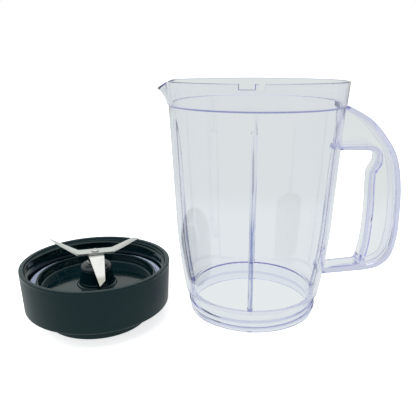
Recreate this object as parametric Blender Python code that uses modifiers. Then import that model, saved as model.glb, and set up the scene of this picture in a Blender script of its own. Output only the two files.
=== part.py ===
"""Blender jug and its screw-on blade base, standing side by side.

The jug is a clear tapered beaker with an open threaded neck at the bottom, four inner ribs,
a pouring lip and an I-section handle. The blade base is a black threaded collar around a cup
with a bearing boss, two bent blades on a shaft, and the coupling that a motor turns.

Metres, +Z up. Both assemblies stand on z = 0, and the origin is below the middle of the pair.
"""

import math

import bmesh
import bpy
from mathutils import Matrix, Vector

MM = 0.001

# ---------------------------------------------------------------- driving dimensions
GAP = 0.3 * MM  # air between pieces that touch
OVERRUN = 1.0 * MM  # how far a cutter passes the face it cuts
ROUND_STEPS = 64  # sides of the collar and other large turned pieces
SMALL_STEPS = 32  # sides of small turned pieces
CLIP_STEPS = 20  # sides of the open spring clip
SEAM = 0.001 * MM  # points closer than this are one point after a join or cut

# Jug
JUG_HEIGHT = 170.5 * MM
JUG_WALL = 2.6 * MM
RIM_RADIUS = 63.7 * MM  # outer, at the mouth
SHOULDER_DROP = 16.8 * MM  # shoulder line below the mouth
SHOULDER_RADIUS = 61.8 * MM
SHOULDER_STEP = 0.7 * MM  # how far the lid rim stands proud above the shoulder
FLANK_OVERHANG = 7.5 * MM  # how far the straight flank would stand out past the neck
TUCK = 3.9 * MM  # how far the flank pulls in at its foot
TUCK_HEIGHT = 54.0 * MM  # how far up the pull-in reaches
JUG_STEPS = 64

# Jug neck and the thread it shares with the collar
NECK_HEIGHT = 14.0 * MM
NECK_RADIUS = 47.2 * MM  # outer, at the thread's root
NECK_WALL = 2.6 * MM
NECK_STEP_RISE = 2.2 * MM  # slope from the neck out to the flank
THREAD_PITCH = 4.6 * MM
THREAD_HEIGHT = 1.3 * MM
THREAD_FOOT = 2.6 * MM  # width of a ridge at its root
THREAD_CREST = 1.2 * MM  # width of a ridge at its crest
THREAD_TURNS = 1.5
THREAD_START = 2.2 * MM  # first ridge above the neck's end
THREAD_PLAY = 0.9 * MM  # radial play between a ridge and the facing wall
THREAD_ROOT_SINK = 0.4 * MM  # how far a ridge is rooted in its wall

# Ribs inside the jug
RIB_COUNT = 4
RIB_TURN = math.radians(-6.0)
RIB_WIDTH = 3.4 * MM
RIB_DEPTH = 3.2 * MM
RIB_BOTTOM_LIFT = 0.6 * MM  # above the ledge over the neck
RIB_TOP_DROP = 26.0 * MM  # rib's top end below the mouth
RIB_RUN_OUT = 34.0 * MM  # length over which a rib fades into the wall

# Pouring lip and the notch for the lid
LIP_REACH = 6.3 * MM
LIP_DIP = 5.3 * MM
LIP_HALF_ANGLE = math.radians(17.0)
NOTCH_DEPTH = 3.2 * MM
NOTCH_WIDTH = 9.6 * MM
NOTCH_POST = 2.2 * MM
SMALL_NOTCH_WIDTH = 3.8 * MM
NOTCH_TURN = math.radians(-100.5)  # middle of the wide notch

# Handle
HANDLE_DEPTH = 17.0 * MM
HANDLE_FLANGE = 3.0 * MM
HANDLE_WEB = 3.0 * MM
HANDLE_REACH = 107.0 * MM  # outer face from the jug's axis
HANDLE_TOP_DROP = 17.2 * MM  # top of the handle below the mouth
HANDLE_FOOT = 28.4 * MM  # underside of the lower arm at the wall
ARM_RISE = 3.2 * MM  # how much the lower arm climbs away from the wall
ARM_THICKNESS = 3.8 * MM
FINGER_GAP_TOP_DROP = 48.0 * MM  # top of the finger gap below the mouth
GRIP_THICKNESS = 22.5 * MM  # outer face to finger side, along the straight grip
HOOK_BULGE = 3.6 * MM  # how much wider the finger gap is above the grip
HANDLE_CORNER = 34.0 * MM  # sweep of the upper outer corner

# Blade base
COLLAR_WALL = 4.4 * MM  # at the rim, behind the thread
COLLAR_RISE = 16.0 * MM  # rim above the channel that holds the seal
COLLAR_TAPER = 1.6 * MM  # how much smaller it is at its lower edge
COLLAR_LIFT = 12.1 * MM  # lower edge above the surface
COLLAR_SKIRT_WALL = 2.8 * MM
RIM_EASE = 0.5 * MM
FOOT_RADIUS = 37.3 * MM
FOOT_WALL = 2.4 * MM
CUP_FLOOR = 25.5 * MM
CUP_FLOOR_WALL = 2.5 * MM
CUP_RING_RISE = 5.4 * MM  # ring's top above the channel's floor
CUP_RING_WALL = 2.0 * MM
CHANNEL_PLAY = 1.6 * MM  # between the jug neck's bore and the ring inside it
CHANNEL_STEP = 1.5 * MM  # channel's floor above the cup's
SEAL_THICKNESS = 2.7 * MM
SKIRT_RIB_COUNT = 8
SKIRT_RIB_WIDTH = 2.0 * MM
SKIRT_RIB_RECESS = 2.0 * MM  # rib's lower edge above the collar's
SKIRT_RIB_ROOT = 0.8 * MM  # how far a rib is rooted in each wall

# Boss and bearing
BOSS_WALL = 2.7 * MM  # around the sleeve, at the top
BOSS_FLARE = 1.9 * MM  # how much wider the boss is at its foot
BOSS_HEIGHT = 12.7 * MM  # above the cup's floor
BOSS_DROP = 8.5 * MM  # how far the boss reaches below the cup's floor
BOSS_TAIL_WALL = 3.7 * MM
CAP_HEIGHT = 3.4 * MM
CAP_OVERHANG = 0.3 * MM
CAP_LEVEL = 1.4 * MM  # width of the flat ring around the cap's hole
SLEEVE_RADIUS = 8.0 * MM
SLEEVE_WALL = 1.5 * MM
SLEEVE_DROP = 4.5 * MM  # how far the sleeve reaches below the boss
BUSHING_LENGTH = 7.0 * MM
SEAL_LIP_HEIGHT = 1.6 * MM
O_RING_SECTION = 1.2 * MM
O_RING_GROOVE = 0.9 * MM  # depth of its groove in the sleeve
O_RING_DROP = 2.0 * MM  # groove below the sleeve's top
NUT_HEIGHT = 3.4 * MM
NUT_WALL = 2.5 * MM  # thinnest, at the middle of a flat
NUT_WASHER = 0.6 * MM  # thickness
WASHER = 1.0 * MM  # thickness of the flat washers
SLINGER_WIDTH = 1.8 * MM  # slinger washer, bore to edge
SPACER_WALL = 1.1 * MM

# Shaft and coupling
SHAFT_RADIUS = 4.0 * MM
TENON_RADIUS = 2.4 * MM
RIVET_RADIUS = 2.9 * MM
RIVET_HEIGHT = 0.9 * MM
SPACER_HEIGHT = 3.7 * MM  # between the slinger washer and the blades
SHAFT_END = 2.4 * MM
CLIP_GROOVE = 0.6 * MM
CLIP_WIDTH = 2.9 * MM
CLIP_OPENING = math.radians(76)
END_THREAD_STEP = 1.0 * MM  # how much thinner the shaft's threaded end is
CLIP_THICKNESS = 0.9 * MM
COUPLING_RADIUS = 16.0 * MM
COUPLING_WEB = 3.0 * MM
COUPLING_FACE = 1.6 * MM  # lowest face above the surface
COUPLING_TEETH = 6
COUPLING_STEPS = 48
COUPLING_TOOTH_WIDTH = 3.0 * MM
COUPLING_TOOTH_REACH = 2.5 * MM  # how far a tooth stands in from the wall
COUPLING_TOOTH_ROOT = 0.8 * MM  # how far a tooth is rooted in the wall
INSERT_WALL = 3.1 * MM
INSERT_RECESS = 0.8 * MM  # insert's lower end above the coupling's face
HUB_WALL = 1.8 * MM  # of the coupling, around the insert

# Blades
BLADE_SHEET = 1.5 * MM
UPPER_WIDTH = 9.0 * MM
UPPER_BEND = 12.2 * MM  # bend line from the axis
UPPER_REACH = 31.0 * MM
UPPER_YAW = math.radians(15.0)
UPPER_FOLDS = (math.radians(26.5), math.radians(33.0))  # each wing's rise, right then left
UPPER_TIP_SHIFT = 4.0 * MM  # tip's place off the blade's centre line
LOWER_WIDTH = 10.6 * MM
LOWER_BEND = 7.2 * MM
LOWER_REACH = 25.0 * MM
LOWER_YAW = math.radians(-70.0)
LOWER_FOLDS = (math.radians(-39.5), math.radians(-39.5))
LOWER_TIP_SHIFT = 1.2 * MM
TIP_SLANT = 3.6 * MM  # length of the slanted end along the blade
TIP_WIDTH = 4.2 * MM  # width of the slanted end

# Where the two assemblies stand
PARTED_CLEARANCE = 0.2 * MM  # between the rim's circle and the collar's, seen from above
PARTED_TURN = math.radians(-170.7)

# ---------------------------------------------------------------- derived sizes
FLANK_FOOT_RADIUS = NECK_RADIUS + FLANK_OVERHANG
COLLAR_BORE = NECK_RADIUS + THREAD_HEIGHT + THREAD_PLAY
COLLAR_RADIUS = COLLAR_BORE + COLLAR_WALL  # outer, at the rim
CHANNEL_FLOOR = CUP_FLOOR + CHANNEL_STEP
CUP_RING_HEIGHT = CHANNEL_FLOOR + CUP_RING_RISE
COLLAR_HEIGHT = CHANNEL_FLOOR + COLLAR_RISE

PARTED_DISTANCE = RIM_RADIUS + COLLAR_RADIUS + PARTED_CLEARANCE
BASE_FROM_JUG = Vector((math.cos(PARTED_TURN), math.sin(PARTED_TURN), 0.0)) * PARTED_DISTANCE
LEFT = min(BASE_FROM_JUG.x - COLLAR_RADIUS, -(RIM_RADIUS + LIP_REACH))
NEAR = min(BASE_FROM_JUG.y - COLLAR_RADIUS, -RIM_RADIUS)
FAR = max(BASE_FROM_JUG.y + COLLAR_RADIUS, RIM_RADIUS)
JUG_AT = Vector((-(HANDLE_REACH + LEFT) / 2, -(NEAR + FAR) / 2, 0.0))
BASE_AT = JUG_AT + BASE_FROM_JUG

SHOULDER_Z = JUG_HEIGHT - SHOULDER_DROP
FLANK_FOOT_Z = NECK_HEIGHT + NECK_STEP_RISE
NECK_BORE = NECK_RADIUS - NECK_WALL
LEDGE_Z = FLANK_FOOT_Z + 0.8 * MM
CHANNEL_INNER = NECK_BORE - CHANNEL_PLAY
SEAL_Z = CHANNEL_FLOOR + GAP
SLEEVE_BORE = SLEEVE_RADIUS - SLEEVE_WALL
BOSS_BORE = SLEEVE_RADIUS + GAP
BOSS_TOP_RADIUS = BOSS_BORE + BOSS_WALL
BOSS_FOOT_RADIUS = BOSS_TOP_RADIUS + BOSS_FLARE
BOSS_TAIL_RADIUS = BOSS_BORE + BOSS_TAIL_WALL
BOSS_TOP = CUP_FLOOR + BOSS_HEIGHT
BOSS_TAIL = CUP_FLOOR - BOSS_DROP
SLEEVE_END = BOSS_TAIL - SLEEVE_DROP
SHAFT_HOLE = SHAFT_RADIUS + GAP
SLEEVE_TOP = BOSS_TOP - SEAL_LIP_HEIGHT - GAP
CAP_Z = BOSS_TOP + GAP
CAP_TOP = CAP_Z + CAP_HEIGHT
SLINGER_Z = CAP_TOP + GAP
SPACER_Z = SLINGER_Z + WASHER + GAP
TENON_Z = SPACER_Z + SPACER_HEIGHT
LOWER_BLADE_Z = TENON_Z + GAP
UPPER_BLADE_Z = LOWER_BLADE_Z + BLADE_SHEET + GAP
BLADE_TOP = UPPER_BLADE_Z + BLADE_SHEET  # top face of the upper blade's flat middle
CLIP_Z = SLEEVE_END - GAP - WASHER - GAP - CLIP_THICKNESS
COUPLING_TOP = CLIP_Z - GAP
INSERT_RADIUS = SHAFT_RADIUS - END_THREAD_STEP + GAP + INSERT_WALL


# ---------------------------------------------------------------- helpers
def clear_scene():
    """Remove every object, mesh and curve that is already in the file."""
    for thing in list(bpy.data.objects):
        bpy.data.objects.remove(thing, do_unlink=True)


def make_collection(name):
    """Return a new collection linked to the scene."""
    collection = bpy.data.collections.new(name)
    bpy.context.scene.collection.children.link(collection)
    return collection


def make_material(name, color, roughness, metallic=0.0, alpha=1.0):
    """Return a Principled material."""
    material = bpy.data.materials.new(name)
    material.use_nodes = True
    shader = material.node_tree.nodes["Principled BSDF"]
    shader.inputs["Base Color"].default_value = (*color, 1.0)
    shader.inputs["Roughness"].default_value = roughness
    shader.inputs["Metallic"].default_value = metallic
    shader.inputs["Alpha"].default_value = alpha
    material.diffuse_color = (*color, alpha)
    return material


def add_object(name, mesh, material=None, at=(0.0, 0.0, 0.0)):
    """Link a mesh as a named object in the model's collection."""
    piece = bpy.data.objects.new(name, mesh)
    piece.location = at
    MODEL.objects.link(piece)
    if material:
        mesh.materials.clear()
        mesh.materials.append(material)
    return piece


def finish(piece, sharp=math.radians(35)):
    """Shade a piece smooth, with its true edges sharp."""
    piece.data.shade_smooth()
    piece.data.set_sharp_from_angle(angle=sharp)
    return piece


def turned(name, profile, material=None, at=(0.0, 0.0, 0.0), steps=ROUND_STEPS):
    """Turn a closed (radius, height) profile, whose outer side runs downwards, about Z."""
    mesh = bpy.data.meshes.new(name)
    points = [(radius, 0.0, height) for radius, height in profile]
    edges = [(i, (i + 1) % len(points)) for i in range(len(points))]
    mesh.from_pydata(points, edges, [])
    piece = add_object(name, mesh, material, at)
    screw = piece.modifiers.new("turn", "SCREW")
    screw.axis = "Z"
    screw.steps = steps
    screw.render_steps = steps
    screw.use_merge_vertices = True
    screw.merge_threshold = 0.00001
    screw.use_smooth_shade = True
    return piece


def settle(piece):
    """Replace a piece's mesh by its evaluated mesh, without modifiers."""
    bpy.context.view_layer.update()
    graph = bpy.context.evaluated_depsgraph_get()
    mesh = bpy.data.meshes.new_from_object(piece.evaluated_get(graph))
    piece.modifiers.clear()
    piece.data = mesh
    return piece


def plate(name, outline, thickness, material=None):
    """Extrude a closed XY outline by thickness, centred on z = 0, as a welded mesh."""
    curve = bpy.data.curves.new(name + "_outline", "CURVE")
    curve.dimensions = "2D"
    curve.fill_mode = "BOTH"
    curve.extrude = thickness / 2
    spline = curve.splines.new("POLY")
    spline.points.add(len(outline) - 1)
    for point, (x, y) in zip(spline.points, outline):
        point.co = (x, y, 0.0, 1.0)
    spline.use_cyclic_u = True
    flat = bpy.data.objects.new(name + "_outline", curve)
    MODEL.objects.link(flat)
    bpy.context.view_layer.update()
    graph = bpy.context.evaluated_depsgraph_get()
    mesh = bpy.data.meshes.new_from_object(flat.evaluated_get(graph))
    bpy.data.objects.remove(flat, do_unlink=True)
    bm = bmesh.new()
    bm.from_mesh(mesh)
    bmesh.ops.remove_doubles(bm, verts=bm.verts, dist=0.00001)
    bmesh.ops.recalc_face_normals(bm, faces=bm.faces)
    bm.to_mesh(mesh)
    bm.free()
    return add_object(name, mesh, material)


def close_seams(piece):
    """Merge the doubled points that joins and cuts leave where faces cross a corner."""
    weld = piece.modifiers.new("seams", "WELD")
    weld.merge_threshold = SEAM
    return piece


def as_tool(piece, operation, tool):
    """Join or cut a piece with a hidden tool object that follows it."""
    tool.hide_render = True
    tool.display_type = "WIRE"
    for collection in list(tool.users_collection):
        collection.objects.unlink(tool)
    TOOLS.objects.link(tool)
    boolean = piece.modifiers.new(tool.name, "BOOLEAN")
    boolean.operation = operation
    boolean.object = tool
    boolean.solver = "EXACT"
    return piece


def thread_ridge(name, root, crest, start, at, wall_steps):
    """Wind a thread ridge from root to crest radius, its steps in line with its wall's."""
    steps = round(THREAD_TURNS * wall_steps)
    bm = bmesh.new()
    section = [
        bm.verts.new((root, 0.0, start - THREAD_FOOT / 2)),
        bm.verts.new((crest, 0.0, start - THREAD_CREST / 2)),
        bm.verts.new((crest, 0.0, start + THREAD_CREST / 2)),
        bm.verts.new((root, 0.0, start + THREAD_FOOT / 2)),
    ]
    face = bm.faces.new(section)
    rise = THREAD_PITCH * THREAD_TURNS / steps
    bmesh.ops.spin(
        bm,
        geom=list(bm.verts) + list(bm.edges) + [face],
        cent=(0.0, 0.0, 0.0),
        axis=(0.0, 0.0, 1.0),
        dvec=(0.0, 0.0, rise),
        angle=math.tau * THREAD_TURNS,
        steps=steps,
    )
    bmesh.ops.remove_doubles(bm, verts=bm.verts, dist=0.000001)
    bmesh.ops.recalc_face_normals(bm, faces=bm.faces)
    mesh = bpy.data.meshes.new(name)
    bm.to_mesh(mesh)
    bm.free()
    return add_object(name, mesh, at=at)


def block(name, size, middle, turn, at):
    """Make a box centred on middle, then turned about Z; it joins or cuts another piece."""
    bm = bmesh.new()
    bmesh.ops.create_cube(bm, size=1.0)
    bmesh.ops.scale(bm, verts=bm.verts, vec=size)
    bmesh.ops.translate(bm, verts=bm.verts, vec=middle)
    bmesh.ops.transform(bm, matrix=Matrix.Rotation(turn, 4, "Z"), verts=bm.verts)
    mesh = bpy.data.meshes.new(name)
    bm.to_mesh(mesh)
    bm.free()
    return add_object(name, mesh, at=at)


def ring(name, inner, outer, low, high, material, at, steps=SMALL_STEPS, ease=0.0):
    """Make a flat-sided ring, with its outer edges eased where asked."""
    profile = [
        (outer - ease, high),
        (outer, high - ease),
        (outer, low + ease),
        (outer - ease, low),
        (inner, low),
        (inner, high),
    ]
    if not ease:
        profile = [(outer, high), (outer, low), (inner, low), (inner, high)]
    return finish(turned(name, profile, material, at, steps))


def arc(centre, radius, start, end, count):
    """Return count + 1 points of an arc in a plane, angles in radians."""
    steps = [start + (end - start) * i / count for i in range(count + 1)]
    return [(centre[0] + radius * math.cos(a), centre[1] + radius * math.sin(a)) for a in steps]


def smooth_path(points, per_span=4):
    """Return points along a smooth curve through the given points, ends kept."""
    path = []
    for i in range(len(points) - 1):
        before = points[max(i - 1, 0)]
        here, there = points[i], points[i + 1]
        after = points[min(i + 2, len(points) - 1)]
        for j in range(per_span):
            t = j / per_span
            weights = (
                (-t + 2 * t**2 - t**3) / 2,
                (2 - 5 * t**2 + 3 * t**3) / 2,
                (t + 4 * t**2 - 3 * t**3) / 2,
                (t**3 - t**2) / 2,
            )
            knots = (before, here, there, after)
            path.append(tuple(sum(w * p[k] for w, p in zip(weights, knots)) for k in (0, 1)))
    path.append(tuple(points[-1]))
    return path


def bend(bm, line, direction, angle, pivot_z):
    """Fold the plate beyond a line in XY about an axis at pivot_z; direction points outwards."""
    outward = Vector((*direction, 0.0)).normalized()
    origin = Vector((*line, pivot_z))
    geometry = list(bm.verts) + list(bm.edges) + list(bm.faces)
    bmesh.ops.bisect_plane(bm, geom=geometry, plane_co=origin, plane_no=outward, dist=1e-7)
    beyond = [v for v in bm.verts if (v.co - origin).dot(outward) > 1e-6]
    hinge = Vector((0.0, 0.0, 1.0)).cross(outward)
    turn = Matrix.Rotation(-angle, 3, hinge)
    bmesh.ops.rotate(bm, verts=beyond, cent=origin, matrix=turn)


# ---------------------------------------------------------------- jug
def flank_radius(height):
    """Return the jug's outer radius at a height between the neck and the shoulder."""
    share = (height - FLANK_FOOT_Z) / (SHOULDER_Z - FLANK_FOOT_Z)
    straight = FLANK_FOOT_RADIUS + (SHOULDER_RADIUS - FLANK_FOOT_RADIUS) * share
    below = max(0.0, 1.0 - (height - FLANK_FOOT_Z) / TUCK_HEIGHT)
    return straight - TUCK * below**2


def flank_heights():
    """Return the heights of the flank's rings, closer together where it curves."""
    curved = [FLANK_FOOT_Z + TUCK_HEIGHT * i / 6 for i in range(7)]
    straight = SHOULDER_Z - curved[-1]
    return curved + [curved[-1] + straight * i / 2 for i in range(1, 3)]


def rim_bore():
    """Return the mouth's inner radius."""
    return RIM_RADIUS - JUG_WALL


def jug_profile():
    """Return the jug's wall as a closed profile, outer side first, from the mouth down."""
    ease = 0.6 * MM
    rim_foot = SHOULDER_RADIUS + SHOULDER_STEP
    outer = [(RIM_RADIUS - ease, JUG_HEIGHT), (RIM_RADIUS, JUG_HEIGHT - ease)]
    lip_levels = 3
    for i in range(1, lip_levels):
        share = i / lip_levels
        height = JUG_HEIGHT - ease - (SHOULDER_DROP - 2.0 * MM) * share
        outer.append((RIM_RADIUS + (rim_foot - RIM_RADIUS) * share, height))
    outer.append((rim_foot, SHOULDER_Z + 1.4 * MM))
    outer += [(flank_radius(h), h) for h in reversed(flank_heights())]
    outer += [(NECK_RADIUS, NECK_HEIGHT), (NECK_RADIUS, ease), (NECK_RADIUS - ease, 0.0)]
    inner = [(NECK_BORE + ease, 0.0), (NECK_BORE, ease), (NECK_BORE, LEDGE_Z - 1.0 * MM)]
    inner.append((NECK_BORE + 1.0 * MM, LEDGE_Z))
    first = LEDGE_Z + 0.4 * MM
    inner += [(flank_radius(first) - JUG_WALL, first)]
    inner += [(flank_radius(h) - JUG_WALL, h) for h in flank_heights()[1:]]
    for i in range(1, lip_levels):
        share = i / lip_levels
        height = SHOULDER_Z + 1.4 * MM + (SHOULDER_DROP - 2.0 * MM) * share
        inner.append((rim_foot - JUG_WALL + (RIM_RADIUS - rim_foot) * share, height))
    inner.append((rim_bore(), JUG_HEIGHT - ease))
    inner.append((rim_bore() + ease, JUG_HEIGHT))
    return outer + inner


def pull_lip(mesh):
    """Draw the pouring lip out of the lid rim, opposite the handle."""
    for vertex in mesh.vertices:
        rise = (vertex.co.z - SHOULDER_Z) / SHOULDER_DROP
        away = math.pi - abs(math.atan2(vertex.co.y, vertex.co.x))
        if rise <= 0.0 or away >= LIP_HALF_ANGLE:
            continue
        across = math.cos(away / LIP_HALF_ANGLE * math.pi / 2) ** 1.6
        vertex.co.x -= LIP_REACH * across * rise**1.4
        vertex.co.z -= LIP_DIP * across * rise**2


def rib_outline():
    """Return one rib's side outline, radius along X and height along Y."""
    bottom = LEDGE_Z + RIB_BOTTOM_LIFT
    top = JUG_HEIGHT - RIB_TOP_DROP
    count = 8
    heights = [bottom + (top - bottom) * (i / count) ** 0.8 for i in range(count + 1)]
    rooted = [(flank_radius(h) - JUG_WALL / 2, h) for h in heights]
    face = []
    for height in heights:
        fade = min(1.0, (top - height) / RIB_RUN_OUT)
        face.append((flank_radius(height) - JUG_WALL - RIB_DEPTH * fade**0.5, height))
    face[-1] = (flank_radius(top) - JUG_WALL + 0.2 * MM, top)
    return rooted + face[::-1]


def build_jar(material):
    """Make the clear jug: wall, lip, ribs, thread and lid notches."""
    jar = settle(turned("jar_body", jug_profile(), material, JUG_AT, JUG_STEPS))
    pull_lip(jar.data)
    for index in range(RIB_COUNT):
        rib = plate(f"rib_{index + 1}", rib_outline(), RIB_WIDTH)
        turn = RIB_TURN + math.tau * index / RIB_COUNT
        upright = Matrix.Rotation(math.pi / 2, 4, "X")
        rib.data.transform(Matrix.Rotation(turn, 4, "Z") @ upright)
        rib.location = JUG_AT
        as_tool(jar, "UNION", rib)
    root = NECK_RADIUS - THREAD_ROOT_SINK
    crest = NECK_RADIUS + THREAD_HEIGHT
    start = THREAD_START + THREAD_FOOT / 2
    as_tool(jar, "UNION", thread_ridge("jar_thread", root, crest, start, JUG_AT, JUG_STEPS))
    half = (NOTCH_WIDTH + SMALL_NOTCH_WIDTH) / 2 + NOTCH_POST
    for name, width, along in (
        ("wide_notch", NOTCH_WIDTH, 0.0),
        ("small_notch", SMALL_NOTCH_WIDTH, half),
    ):
        cut_notch(jar, name, width, along)
    return finish(close_seams(jar))


def cut_notch(jar, name, width, along):
    """Cut one notch of the lid lock through the rim, offset along the rim."""
    tall = NOTCH_DEPTH + OVERRUN
    size = (3 * JUG_WALL, width, tall)
    middle = (rim_bore() + JUG_WALL / 2, 0.0, JUG_HEIGHT - NOTCH_DEPTH + tall / 2)
    turn = NOTCH_TURN + along / RIM_RADIUS
    as_tool(jar, "DIFFERENCE", block(name, size, middle, turn, JUG_AT))


# ---------------------------------------------------------------- handle
def handle_outer():
    """Return the handle's outer outline, from the shoulder round to the foot of the arm."""
    top = JUG_HEIGHT - HANDLE_TOP_DROP
    wall = SHOULDER_RADIUS - JUG_WALL
    corner = HANDLE_REACH - HANDLE_CORNER
    grip = top - (top - HANDLE_FOOT) / 2
    return smooth_path(
        [
            (wall, top + 0.6 * MM),
            (SHOULDER_RADIUS + 4.0 * MM, top - 0.6 * MM),
            (corner + 7.5 * MM, top - 9.0 * MM),
            (HANDLE_REACH - 15.5 * MM, top - 20.5 * MM),
            (HANDLE_REACH - 6.0 * MM, top - 36.0 * MM),
            (HANDLE_REACH - 1.2 * MM, grip + 4.0 * MM),
            (HANDLE_REACH, top - (top - HANDLE_FOOT) * 0.68),
            (HANDLE_REACH - 0.8 * MM, HANDLE_FOOT + 26.0 * MM),
            (HANDLE_REACH - 3.6 * MM, HANDLE_FOOT + 14.5 * MM),
            (HANDLE_REACH - 9.6 * MM, HANDLE_FOOT + 7.2 * MM),
            (HANDLE_REACH - 19.0 * MM, HANDLE_FOOT + 3.4 * MM),
            (HANDLE_REACH - 36.0 * MM, HANDLE_FOOT + 1.4 * MM),
            (flank_radius(HANDLE_FOOT) - JUG_WALL, HANDLE_FOOT - 0.6 * MM),
        ]
    )


def finger_gap():
    """Return the finger gap's outline, from the wall at its top round to the wall at its foot."""
    top = JUG_HEIGHT - FINGER_GAP_TOP_DROP
    foot = HANDLE_FOOT + ARM_THICKNESS
    grip = HANDLE_REACH - GRIP_THICKNESS
    wall_top = flank_radius(top) - JUG_WALL
    wall_foot = flank_radius(foot) - JUG_WALL
    return [(wall_top, top)] + smooth_path(
        [
            (grip - 5.0 * MM, top),
            (grip + 1.6 * MM, top - 1.4 * MM),
            (grip + HOOK_BULGE - 0.4 * MM, top - 5.0 * MM),
            (grip + HOOK_BULGE - 0.6 * MM, top - 9.6 * MM),
            (grip - 0.4 * MM, top - 16.0 * MM),
            (grip - 0.8 * MM, top - 22.0 * MM),
            (grip, top - 46.0 * MM),
            (grip - 0.8 * MM, foot + 22.0 * MM),
            (grip - 3.4 * MM, foot + ARM_RISE + 3.0 * MM),
            (grip - 6.0 * MM, foot + ARM_RISE),
        ],
        3,
    ) + [(wall_foot, foot)]


def inset_path(path, distance):
    """Move an open path sideways, to its left, by a distance."""
    moved = []
    for i, (x, y) in enumerate(path):
        before = path[max(i - 1, 0)]
        after = path[min(i + 1, len(path) - 1)]
        along = Vector((after[0] - before[0], after[1] - before[1])).normalized()
        moved.append((x - along.y * distance, y + along.x * distance))
    return moved


def pocket_outline():
    """Return the outline of the recess on each side of the handle's web."""
    outer = inset_path(handle_outer(), -HANDLE_FLANGE)
    inner = inset_path(finger_gap(), HANDLE_FLANGE)
    floor = HANDLE_FOOT + ARM_THICKNESS + ARM_RISE + HANDLE_FLANGE
    outer = [p for p in outer if p[1] > floor or p[0] > HANDLE_REACH - GRIP_THICKNESS]
    inner = [p for p in inner if p[1] > floor]
    foot = HANDLE_REACH - GRIP_THICKNESS + 0.4 * MM
    outer = [p for p in outer if p[0] > foot or p[1] > JUG_HEIGHT / 2]
    return outer + inner[::-1]


def build_handle(material):
    """Make the clear I-section handle, trimmed to the jug's flank."""
    outline = handle_outer() + finger_gap()[::-1]
    upright = Matrix.Rotation(math.pi / 2, 4, "X")
    handle = plate("jar_handle", outline, HANDLE_DEPTH, material)
    handle.data.transform(upright)
    handle.location = JUG_AT
    recess = (HANDLE_DEPTH - HANDLE_WEB) / 2
    for side in (-1, 1):
        name = "handle_recess_near" if side < 0 else "handle_recess_far"
        tool = plate(name, pocket_outline(), recess + OVERRUN)
        middle = side * (HANDLE_WEB / 2 + (recess + OVERRUN) / 2)
        tool.data.transform(Matrix.Translation((0.0, middle, 0.0)) @ upright)
        tool.location = JUG_AT
        as_tool(handle, "DIFFERENCE", tool)
    heights = [0.0] + flank_heights()[:-1]
    rim_space = SHOULDER_RADIUS + SHOULDER_STEP + GAP
    core = [(rim_space, JUG_HEIGHT), (rim_space, SHOULDER_Z)]
    core += [(flank_radius(max(h, FLANK_FOOT_Z)) + GAP, h) for h in reversed(heights)]
    core += [(0.0, 0.0), (0.0, JUG_HEIGHT)]
    as_tool(handle, "DIFFERENCE", turned("jug_space", core, at=JUG_AT, steps=JUG_STEPS))
    return finish(handle)


# ---------------------------------------------------------------- blade base
def housing_profile():
    """Return the black moulding's closed profile, outer side first, from the rim down."""
    low_radius = COLLAR_RADIUS - COLLAR_TAPER
    underside = CUP_FLOOR - CUP_FLOOR_WALL
    collar = [
        (COLLAR_RADIUS - RIM_EASE, COLLAR_HEIGHT),
        (COLLAR_RADIUS, COLLAR_HEIGHT - RIM_EASE),
        (low_radius, COLLAR_LIFT + 2 * RIM_EASE),
        (low_radius - 2 * RIM_EASE, COLLAR_LIFT),
        (low_radius - COLLAR_SKIRT_WALL, COLLAR_LIFT),
        (low_radius - COLLAR_SKIRT_WALL, underside),
    ]
    foot = [
        (FOOT_RADIUS, underside),
        (FOOT_RADIUS, RIM_EASE),
        (FOOT_RADIUS - RIM_EASE, 0.0),
        (FOOT_RADIUS - FOOT_WALL, 0.0),
        (FOOT_RADIUS - FOOT_WALL, underside),
    ]
    boss = [
        (BOSS_TAIL_RADIUS, underside),
        (BOSS_TAIL_RADIUS, BOSS_TAIL),
        (BOSS_BORE, BOSS_TAIL),
        (BOSS_BORE, BOSS_TOP),
        (BOSS_TOP_RADIUS, BOSS_TOP),
        (BOSS_FOOT_RADIUS, CUP_FLOOR + 0.8 * MM),
        (BOSS_FOOT_RADIUS + 0.8 * MM, CUP_FLOOR),
    ]
    ring_inner = CHANNEL_INNER - CUP_RING_WALL
    cup = [
        (ring_inner - 1.0 * MM, CUP_FLOOR),
        (ring_inner, CUP_FLOOR + 1.0 * MM),
        (ring_inner + 0.3 * MM, CUP_RING_HEIGHT),
        (CHANNEL_INNER - 0.3 * MM, CUP_RING_HEIGHT),
        (CHANNEL_INNER, CHANNEL_FLOOR),
        (COLLAR_BORE, CHANNEL_FLOOR),
        (COLLAR_BORE, COLLAR_HEIGHT - 2 * RIM_EASE),
        (COLLAR_BORE + 2 * RIM_EASE, COLLAR_HEIGHT),
    ]
    return collar + foot + boss + cup


def build_housing(material):
    """Make the black moulding with its inner thread and the ribs under its skirt."""
    housing = turned("base_housing", housing_profile(), material, BASE_AT)
    crest = COLLAR_BORE - THREAD_HEIGHT
    start = COLLAR_HEIGHT - 1.5 * MM - THREAD_PITCH * THREAD_TURNS - THREAD_FOOT / 2
    root = COLLAR_BORE + THREAD_ROOT_SINK
    ridge = thread_ridge("collar_thread", root, crest, start, BASE_AT, ROUND_STEPS)
    as_tool(housing, "UNION", ridge)
    skirt = COLLAR_RADIUS - COLLAR_TAPER - COLLAR_SKIRT_WALL
    low = COLLAR_LIFT + SKIRT_RIB_RECESS
    high = CUP_FLOOR - CUP_FLOOR_WALL / 2
    size = (skirt - FOOT_RADIUS + 2 * SKIRT_RIB_ROOT, SKIRT_RIB_WIDTH, high - low)
    middle = ((skirt + FOOT_RADIUS) / 2, 0.0, (low + high) / 2)
    for index in range(SKIRT_RIB_COUNT):
        turn = math.tau * (index + 0.5) / SKIRT_RIB_COUNT
        as_tool(housing, "UNION", block(f"skirt_rib_{index + 1}", size, middle, turn, BASE_AT))
    return finish(close_seams(housing))


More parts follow.
